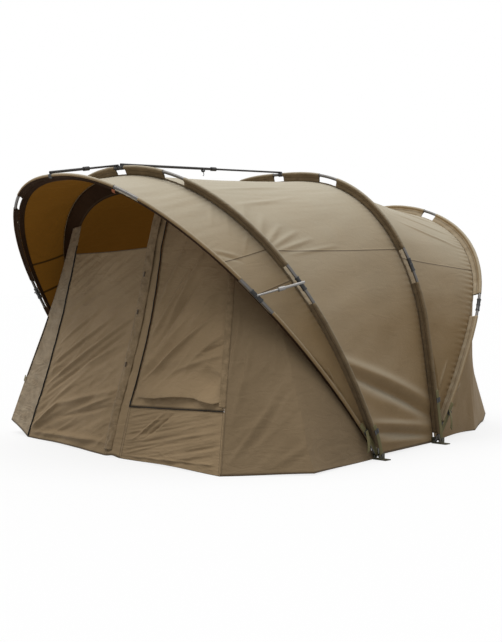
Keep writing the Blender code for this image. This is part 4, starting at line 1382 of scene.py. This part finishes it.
def front_panel(name, node, seams, grid, creases, seed, body="rib_2", heights=None, finish=front_cloth,
                folds=()):
    """Cloth ruled between seams of the front, or cut off at given heights, with its creases."""
    lines = [seam_line(seam) for seam in seams]
    numbers = range(len(seams))
    feet = [bottom for _, bottom in lines]
    length = (feet[0] - feet[-1]).length
    tall = max((top - bottom).length for top, bottom in lines)
    loose_top = bool(heights) and heights[0] > LOOSE_TOP_HEIGHT

    def line_at(spot):
        def between(values):
            return float(np.interp(spot, numbers, values))

        shares, _, insets, aheads = zip(*seams)
        top = rib_at("rib_2", between(shares), between(insets), between(aheads))
        return top, Vector([between(line) for line in zip(*feet)])

    def place(u, v):
        if heights:
            left, right = (at_height(line, high).lerp(at_height(line, HEM_HEIGHT), v)
                           for line, high in zip((lines[0], lines[-1]), heights))
            point = left.lerp(right, u)
            point.z -= 0.006 * sin(pi * u) * (1 - v) ** 3 * loose_top
        else:
            top, bottom = line_at(u * numbers[-1])
            point = top.lerp(bottom, v)
        across, down = u * length, v * tall
        depth = sizes().crease * creases(across, down, u, v, seed) + folds_at(u, v, length, tall, folds)
        depth += gathers(down, min(u, 1 - u) * length, seed, 0.038, 0.030)
        point += bow(point)
        point.y -= depth
        lift = 0.008 * sin(pi * u) ** 2 * max(0.0, v * 10 - 9)
        point.z = max(point.z + lift, HEM_HEIGHT)
        return point

    marks = {
        "edge": lambda u, v: min(u, 1 - u) * length - 0.010,
        "hem": lambda u, v: min((1 - v) * tall, v * tall + 0.004 if loose_top else 1.0),
    }
    cloth_piece(name, grid, place, (length, tall), marks, "canopy", ["facing_band"], finish(),
                canopy_lining(), node=node, body=body)


def closed_door():
    """The closed door: its top follows the facing, and loose cloth hangs over its bottom zip."""
    seams = front_seams()
    left, right = (seams[key]._replace(inset=DOOR_INSET) for key in ("centre_right", "side_right"))
    foot_left = at_height(seam_line(left), FLAP_FOOT)
    foot_right = at_height(seam_line(right), FLAP_FOOT_RIGHT)
    length, tall = (foot_right - foot_left).length, 1.20
    roll_crest, roll_rise, roll_fall = 0.950, 0.075, 0.016  # shares of the way down the door
    inset_edge = (foot_right - foot_left).normalized() * 0.001

    def place(u, v):
        top = rib_at("rib_2", left.share + u * (right.share - left.share), DOOR_INSET, INFILL_AHEAD)
        point = top.lerp(foot_left.lerp(foot_right, u), v)
        across, down = u * length, v * tall
        depth = sizes().crease * 0.8 * door_creases(across, down, u, v, 31.0, 46.0)
        depth += folds_at(u, v, length, tall, CLOSED_DOOR_FOLDS)
        depth += gathers(down, min(u, 1 - u) * length, 6.6, 0.038, 0.035)
        loose = smooth(u / 0.30) * smooth((1 - u) / 0.10)
        crest = roll_crest - 0.035 * sin(pi * u ** 1.4)
        ripple = 1 + 0.5 * noise.noise(Vector((across * 7, 2.0, 8.0)))
        if v < crest:
            hollow = sin(pi * smooth((v - crest + 0.17) / 0.13))
            roll = smooth((v - crest + roll_rise) / roll_rise) ** 1.3 - 0.30 * hollow
        else:
            roll = 1 - smooth((v - crest) / roll_fall)
        depth += sizes().swag * loose * ripple * roll
        point.z -= 0.024 * loose * max(0.0, roll)
        below = smooth((v - crest) / roll_fall) * smooth((1 - v) / 0.010)
        depth += 0.004 * below * noise.noise(Vector((across * 22, v * 30, 8.0)))
        point += bow(point)
        point.y -= depth
        return point + inset_edge * (1 - 2 * u) * (u in (0, 1))

    marks = {
        "edge": lambda u, v: min(u, 1 - u) * length - 0.010,
        "hem": lambda u, v: (1 - v) * tall + 0.004,
    }
    cloth_piece("closed_door_cloth", (160, 240), place, (length, tall), marks, "canopy", ["facing_band"],
                front_cloth(), canopy_lining(), node="right_door_panel", body="right_door", held="hung")


def gathered_band(name, line, beside, heights, start, width, bulge, rests_on):
    """A gathered strip that hides a zip, between two heights and start to start + width beside the line."""
    top, bottom = (at_height(line, height) for height in heights)
    across = (beside[1] - line[1]).normalized()
    length = (top - bottom).length

    def place(u, v):
        down = v * length
        wave = noise.noise(Vector((u * 1.6, down * 24, 4.0 + width)))
        wave += 0.6 * noise.noise(Vector((u * 3.5, down * 58, 9.0)))
        sway = 0.006 * noise.noise(Vector((0.0, down * 9, 3.0 + u)))
        point = top.lerp(bottom, v) + across * (start + u * width + sway)
        point += bow(point)
        point.y -= 0.0015 + (bulge + bulge * wave) * sin(pi * u) ** 0.9
        return point

    grid = (10, round(length / 0.0075))
    cloth_piece(name, grid, place, (width, length), {}, "pocket", [rests_on], band_cloth(), body="rib_2")


def facing():
    """The dark band in the front rib's plane that the doors close against."""
    start = share_at("rib_2", SEAM_FOOT_RADIUS, -1)
    length = arch("rib_2")[2]
    width = FACING_INNER - FACING_OUTER

    def place(u, v):
        wave = noise.noise(Vector((u * length * 7, 2.0, 5.0)))
        ahead = 0.004 * wave * sin(pi * v) + 0.002 * v * v
        return rib_at("rib_2", between_feet(start, u), FACING_OUTER + v * width, ahead)

    marks = {"sewn": lambda u, v: abs(v * width - width * 0.9)}
    cloth_piece("facing_band", (300, 10), place, (length, width), marks, "pocket", ["rib_2_pocket"],
                facing_cloth(), node="front_facing", body="rib_2", offset=0.0, painted_top_light=False)


# Zips, webbing and small fittings


def zip_line(name, start, end, normal, width_way, share=1.0):
    """A zip along a straight edge: its tape, with the coil standing on it as a raised bead."""
    wavy = []
    for point in line_points(start, end, 0.012):
        point = point + bow(point)
        sway = share * (0.0045 * noise.noise(point * 8) + 0.0022 * noise.noise(point * 29))
        wavy.append(point + normal * 0.0035 + width_way * sway)
    tape = ribbon(name, wavy, width_way, sizes().zip_width * share, 0.0012)
    coil = tube(f"{name}_coil", [point + normal * 0.0022 for point in wavy], 0.0021, 8)
    for piece in (tape, coil):
        fitted(piece, "slider", "rib_2", zip_tape())


def front_normal(line, other):
    """Square to the front beside a seam, pointing outwards."""
    up = (line[0] - line[1]).normalized()
    out = (other[1] - line[1]).cross(up).normalized()
    return out if out.y < 0 else -out


def zip_down(name, key, beside, high, low, share=1.0, aside=0.0):
    """A zip down a seam; gives its lower end, the way out of the cloth and the way across the tape."""
    line = front_line(key)
    normal = front_normal(line, front_line(beside))
    start, end = (at_height(line, height) + Vector((aside, 0, 0)) for height in (high, low))
    across = normal.cross(end - start).normalized()
    zip_line(name, start, end, normal, across, share)
    return end, normal, across


def door_foot_zip():
    """The zip under the closed door."""
    left, right = front_line("centre_right"), front_line("side_right")
    start, end = at_height(left, FLAP_FOOT - 0.002), at_height(right, FLAP_FOOT_RIGHT - 0.002)
    zip_line("door_foot_zip", start, end, front_normal(left, right), Vector((0, 0, 1)), 0.6)


def wing_zip():
    """The short zip and its pull on the outer edge of the left post."""
    end, normal, across = zip_down("wing_zip", "wing_left", "post_left", 0.80, 0.40, aside=0.014)
    path = [end + normal * (0.006 + 0.004 * i) + Vector((0.002 * i, 0, -0.010 * i)) for i in range(5)]
    fitted(ribbon("wing_zip_pull", path, across, 0.018, 0.0016), "webbing", "rib_2", strap_webbing())


def strap_on(label, rib, side, reach, width, buckle_step, rise=0.0):
    """Webbing from a hub up the outer side of a leg, and its buckle. Gives both, the buckle's place and the
    directions across the strap, up it and out of it."""
    away = sizes().pocket_bore + STRAP_STANDOFF
    path = []
    for i in range(STRAP_STEPS + 1):
        share = share_at(rib, STRAP_FOOT + reach * i / STRAP_STEPS, side)
        path.append(rib_at(rib, share, -away - rise * sin(pi * i / STRAP_STEPS)).copy())
    across = rib_ahead(rib)
    normal = -inwards(rib, share_at(rib, 0.12, side))
    strap = ribbon(f"{label}_strap", path, across, width, STRAP_THICKNESS, STRAP_WAVES)
    up = (path[-1] - path[0]).normalized()
    turn = Matrix((across, up, across.cross(up))).transposed().to_4x4()
    spot = path[buckle_step]
    buckle = ladder_buckle(f"{label}_buckle", Matrix.Translation(spot + normal * STRAP_STANDOFF) @ turn)
    return strap, buckle, spot, across, up, normal


def foot_strap(end, side):
    """The strap from a hub up the leaning leg, with a loose tail."""
    rib = "rib_1" if end == "front" else "rib_4"
    title = "right" if side > 0 else "left"
    width = sizes().strap_width
    strap, buckle, spot, across, up, normal = strap_on(
        f"{end}_{title}", rib, side, FOOT_STRAP_REACH, width, FOOT_BUCKLE_STEP, rise=0.0015)
    tail = []
    for i in range(TAIL_STEPS + 1):
        share = i / TAIL_STEPS
        curl = normal * (0.006 + 0.022 * sin(pi * share * 0.75)) + across * 0.010 * sin(2.5 * share)
        tail.append(spot + Vector((0, 0, 0.014 - TAIL_LENGTH * share)) + curl)
    tilted = (across + up * 0.25).normalized()
    loose = ribbon(f"{end}_{title}_strap_tail", tail, tilted, width * 0.85, 0.0016)
    fitted(strap, "webbing", rib, strap_webbing(), node=f"{end}_foot_strap_{title}")
    fitted(buckle, "collar", rib, black_plastic())
    fitted(loose, "webbing", rib, strap_webbing())


def leg_strap(rib, side):
    """A second strap on the upright leg beside it, from the hub up to its own buckle."""
    title = "right" if side > 0 else "left"
    strap, buckle, *_ = strap_on(f"{rib}_{title}_leg", rib, side, LEG_STRAP_REACH[rib],
                                 sizes().strap_width * 0.9, LEG_BUCKLE_STEP)
    fitted(strap, "webbing", RIBS[rib]["body"], strap_webbing())
    fitted(buckle, "collar", RIBS[rib]["body"], black_plastic())


def ladder_buckle(name, place):
    """A three-bar buckle: a frame with two slots."""
    mesh = bmesh.new()
    bmesh.ops.create_grid(mesh, x_segments=3, y_segments=5, size=0.5)
    mesh.faces.ensure_lookup_table()
    slots = [mesh.faces[index] for index in (4, 10)]
    bmesh.ops.delete(mesh, geom=slots, context="FACES")
    bmesh.ops.scale(mesh, vec=(0.036, 0.030, 1), verts=mesh.verts)
    bmesh.ops.transform(mesh, matrix=place, verts=mesh.verts)
    obj = wall(new_object(name, mesh), 0.004, 0.0)
    edge = obj.modifiers.new("edge", "BEVEL")
    edge.width = 0.0008
    edge.segments = 2
    return obj


def crown_saddle(name, rib, aside):
    """A clip that grips the crown pole and carries the end of a ridge bar."""
    share = share_at_x(rib, aside)
    inner, outer, half = sizes().pole_radius + 0.0004, sizes().pole_radius + 0.0042, 0.014
    rows = [(inner, -half), (outer - 0.001, -half), (outer, -half + 0.001)]
    clip = turned(name, mirrored(rows), rib_at(rib, share), rib_along(rib, share))
    fitted(clip, "collar", RIBS[rib]["body"], black_plastic())


def toggle(name, place, way, body):
    """A small waisted toggle that ties up the rolled door."""
    half, radius = 0.016, 0.0045
    rows = [
        (0.0, -half), (radius * 0.7, -half + 0.001), (radius, -half + 0.005), (radius * 0.75, 0.0),
        (radius, half - 0.005), (radius * 0.7, half - 0.001), (0.0, half),
    ]
    fitted(turned(name, rows, place, way, 20, closed=False), "collar", body, toggle_plastic())


def door_toggles():
    line = front_line("centre_left")
    for number, height in enumerate(TOGGLE_HEIGHTS, 1):
        spot = at_height(line, height)
        spot += bow(spot)
        toggle(f"door_toggle_{number}", spot + Vector((0.012, -0.016, 0)), (0.3, 0, 1), "rib_2")


def ridge_hook():
    """A ring on the rear ridge bar with a small hook below it."""
    low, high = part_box("ridge_bar_rear_outer")
    middle = Vector(((low.x + high.x) / 2, low.y + (high.y - low.y) * 0.86, (low.z + high.z) / 2 - 0.004))
    rows = [(0.0090, -0.007), (0.0120, -0.007), (0.0130, -0.005)]
    ring = turned("ridge_ring", mirrored(rows), middle, Vector((0, 1, 0)))
    path = [middle + Vector((0, 0.006 * sin(pi * i / 8), -0.012 - 0.024 * i / 8)) for i in range(9)]
    for piece in (ring, tube("ridge_hook", path, 0.0022, 10)):
        fitted(piece, "collar", "ridge_bar_rear_outer", black_plastic())


def pull_tab():
    """A plain folded tab sewn into the hood's edge."""
    share = share_at("rib_1", 2.041, 1)
    start = rib_at("rib_1", share, HOOD_TAIL * 0.2, 0.014)
    down, ahead = inwards("rib_1", share), rib_ahead("rib_1")
    path = [start + down * 0.026 * i / 8 + ahead * 0.003 * sin(pi * i / 8) for i in range(9)]
    tab = ribbon("hood_pull_tab", path, rib_along("rib_1", share), 0.020, 0.0016)
    fitted(tab, "webbing", "rib_1", tab_tape())


# Operators


def seen_rays(tree):
    """1 for the rays that see the backdrop itself, and 0 for those that only carry its light."""
    rays = tree.nodes.new("ShaderNodeLightPath").outputs
    seen = math(tree, "MAXIMUM", rays["Is Camera Ray"], rays["Is Glossy Ray"])
    return rays, math(tree, "MAXIMUM", seen, rays["Is Transmission Ray"])


class TENT_OT_stage(bpy.types.Operator):
    """Adds the camera, the studio light and the pale floor"""

    bl_idname = "tent.stage"
    bl_label = "Stage"

    def execute(self, context):
        self.camera(context)
        self.light(context)
        self.floor()
        return {"FINISHED"}

    def camera(self, context):
        data = bpy.data.cameras.new("view")
        data.sensor_width = SENSOR
        data.lens = FOCAL_PIXELS * SENSOR / IMAGE_LONG_SIDE
        data.clip_end = 100
        camera = bpy.data.objects.new("view", data)
        right = Vector((cos(CAMERA_TURN), sin(CAMERA_TURN), 0))
        level = Vector((-sin(CAMERA_TURN), cos(CAMERA_TURN), 0))
        ahead = level * cos(CAMERA_TILT) + Vector((0, 0, sin(CAMERA_TILT)))
        turn = Matrix((right, right.cross(ahead), -ahead)).transposed().to_4x4()
        camera.matrix_world = Matrix.Translation(CAMERA_PLACE) @ turn
        context.scene.collection.objects.link(camera)
        context.scene.camera = camera
        context.scene.view_settings.view_transform = "Standard"

    def light(self, context):
        data = bpy.data.lights.new("key", "SUN")
        data.energy = KEY_STRENGTH
        data.angle = KEY_SPREAD
        lamp = bpy.data.objects.new("key", data)
        lamp.matrix_world = Vector(KEY_WAY).to_track_quat("Z", "Y").to_matrix().to_4x4()
        context.scene.collection.objects.link(lamp)
        world = bpy.data.worlds.new("studio")
        world.use_nodes = True
        tree = world.node_tree
        tree.nodes.clear()
        strength = math(tree, "MULTIPLY_ADD", seen_rays(tree)[1], 1 - SKY_STRENGTH, SKY_STRENGTH)
        sky = socket_of(tree, "ShaderNodeBackground", {"Color": (1, 1, 1, 1), "Strength": strength})
        out = tree.nodes.new("ShaderNodeOutputWorld")
        tree.links.new(sky.outputs[0], out.inputs[0])
        context.scene.world = world

    def floor(self):
        mesh = bmesh.new()
        bmesh.ops.create_grid(mesh, x_segments=2, y_segments=2, size=60)
        floor = new_object("studio_floor", mesh)
        made, tree, shader = start_material("studio_floor", 0.9)
        shader.inputs["Specular IOR Level"].default_value = 0.0
        rays, seen = seen_rays(tree)
        pale = list(colours().floor)
        body = mixed(tree, rays["Is Camera Ray"], toned(pale, FLOOR_BOUNCE), pale)
        tree.links.new(body, shader.inputs["Base Color"])
        white = socket_of(tree, "ShaderNodeEmission", {"Color": (1, 1, 1, 1), "Strength": 1.0})
        share = math(tree, "MULTIPLY", seen, FLOOR_WHITE_SHARE)
        both = socket_of(tree, "ShaderNodeMixShader", {0: share, 1: shader.outputs[0], 2: white.outputs[0]})
        tree.links.new(both.outputs[0], tree.nodes["Material Output"].inputs[0])
        dress(floor, made)


class TENT_OT_poles(bpy.types.Operator):
    """Bends the poles of the four ribs and adds their moulded joints"""

    bl_idname = "tent.poles"
    bl_label = "Poles"

    def execute(self, context):
        for name in RIBS:
            poles(name)
        return {"FINISHED"}


class TENT_OT_pockets(bpy.types.Operator):
    """Sews the pole pockets with their cut-outs"""

    bl_idname = "tent.pockets"
    bl_label = "Pole pockets"

    def execute(self, context):
        for name in RIBS:
            pocket(name)
        return {"FINISHED"}


class TENT_OT_canopy(bpy.types.Operator):
    """Stretches the hood, the main bay, the rear bay and the back wall"""

    bl_idname = "tent.canopy"
    bl_label = "Canopy"

    def execute(self, context):
        bay("hood_canopy", "hood_panel", "rib_1", "rib_2", ("rib_2", "rib_1", 0), False, (520, 36),
            HOOD_FOLDS, seed=2.0)
        bay("main_canopy", "main_panel", "rib_2", "rib_3", ("ground_frame", "rib_2", 0), True, (540, 80),
            MAIN_FOLDS, seed=5.0)
        bay("rear_canopy", "rear_panel", "rib_3", "rib_4", ("ground_frame", "rib_4", 1), False, (480, 64),
            REAR_FOLDS, seed=9.0, rear_gather=1.9)
        back_wall()
        hood_band()
        return {"FINISHED"}


class TENT_OT_front(bpy.types.Operator):
    """Hangs the facing, the wings, the posts, the doors and the sill"""

    bl_idname = "tent.front"
    bl_label = "Front"

    def execute(self, context):
        seams = list(front_seams().values())
        facing()
        front_panel("left_wing_cloth", "infill_left_wing", seams[0:2], (60, 90), wing_creases, 3.0,
                    finish=wing_cloth)
        front_panel("left_post_cloth", "infill_left_post", seams[1:3], (28, 200), post_creases, 5.0,
                    finish=post_cloth)
        front_panel("lowered_door_cloth", "left_door_panel", seams[2:4], (176, 200), door_creases, 21.0,
                    body="left_door", heights=(DOOR_TOP_LEFT, DOOR_TOP_RIGHT), folds=LOWERED_DOOR_FOLDS)
        front_panel("centre_post_cloth", "centre_post", seams[3:5], (28, 220), post_creases, 8.0)
        front_panel("sill_cloth", "right_sill", seams[4:6], (160, 60), wing_creases, 12.0,
                    heights=(FLAP_FOOT - FLAP_ZIP_GAP, FLAP_FOOT_RIGHT - FLAP_ZIP_GAP), folds=SILL_FOLDS)
        front_panel("right_wing_cloth", "infill_right_wing", seams[5:8], (130, 150), wing_creases, 15.0,
                    finish=wing_cloth, folds=WING_FOLDS)
        closed_door()
        gathered_band("door_roll_band", front_line("centre_left"), front_line("centre_right"), (1.50, 0.04),
                      -0.022, 0.078, 0.0075, "centre_post_cloth")
        gathered_band("side_zip_band", front_line("side_right"), front_line("wing_right"),
                      (1.22, FLAP_FOOT_RIGHT + 0.02), -0.030, 0.036, 0.0035, "closed_door_cloth")
        return {"FINISHED"}


class TENT_OT_zips(bpy.types.Operator):
    """Sews the zips beside the doors"""

    bl_idname = "tent.zips"
    bl_label = "Zips"

    def execute(self, context):
        zip_down("left_zip", "post_left", "centre_left", DOOR_TOP_LEFT + 0.05, 0.012, share=1.7)
        zip_down("centre_zip", "centre_right", "side_right", 1.56, FLAP_FOOT)
        door_foot_zip()
        wing_zip()
        for node in ("left_zip_slider", "right_zip_slider"):
            dress(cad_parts[node], slider_lacquer())
        return {"FINISHED"}


class TENT_OT_webbing(bpy.types.Operator):
    """Adds the straps with their buckles, the toggles, the pull tab and the ridge bar's hook"""

    bl_idname = "tent.webbing"
    bl_label = "Webbing"

    def execute(self, context):
        for end, upright in (("front", "rib_2"), ("rear", "rib_3")):
            for side in (-1, 1):
                foot_strap(end, side)
                leg_strap(upright, side)
        door_toggles()
        pull_tab()
        ridge_hook()
        return {"FINISHED"}


class TENT_OT_fittings(bpy.types.Operator):
    """Finishes the hubs, pins and bars and clips the ridge bars to the crowns"""

    bl_idname = "tent.fittings"
    bl_label = "Fittings"

    def execute(self, context):
        finishes = (("hub_pin", pin_steel), ("hub", hub_plastic), ("ridge_bar", dark_bar_metal),
                    ("side_brace", bar_metal))
        for name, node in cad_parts.items():
            for word, finish in finishes:
                if word in name:
                    dress(node, finish())
                    break
        crown_saddle("hood_crown_clip", "rib_1", -0.020)
        crown_saddle("front_crown_clip_1", "rib_2", -0.020)
        crown_saddle("front_crown_clip_2", "rib_2", 0.020)
        crown_saddle("rear_crown_clip", "rib_3", 0.020)
        return {"FINISHED"}


class TENT_PT_panel(bpy.types.Panel):
    bl_idname = "TENT_PT_panel"
    bl_label = "Bivvy tent"
    bl_space_type = "VIEW_3D"
    bl_region_type = "UI"
    bl_category = "Bivvy tent"

    def draw(self, context):
        for kind in STEPS:
            self.layout.operator(kind.bl_idname)
        for group_of in (context.scene.tent_sizes, context.scene.tent_colours):
            box = self.layout.box()
            for key in group_of.__annotations__:
                box.prop(group_of, key)


STEPS = (TENT_OT_stage, TENT_OT_poles, TENT_OT_pockets, TENT_OT_canopy, TENT_OT_front, TENT_OT_zips,
         TENT_OT_webbing, TENT_OT_fittings)
CLASSES = (TentSizes, TentColours, *STEPS, TENT_PT_panel)


def register():
    for kind in CLASSES:
        bpy.utils.register_class(kind)
    bpy.types.Scene.tent_sizes = PointerProperty(type=TentSizes)
    bpy.types.Scene.tent_colours = PointerProperty(type=TentColours)


def unregister():
    del bpy.types.Scene.tent_colours
    del bpy.types.Scene.tent_sizes
    for kind in reversed(CLASSES):
        bpy.utils.unregister_class(kind)


def main():
    register()
    bpy.ops.tent.stage()
    bpy.ops.tent.poles()
    bpy.ops.tent.pockets()
    bpy.ops.tent.canopy()
    bpy.ops.tent.front()
    bpy.ops.tent.zips()
    bpy.ops.tent.webbing()
    bpy.ops.tent.fittings()
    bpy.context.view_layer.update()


if __name__ == "__main__":
    main()
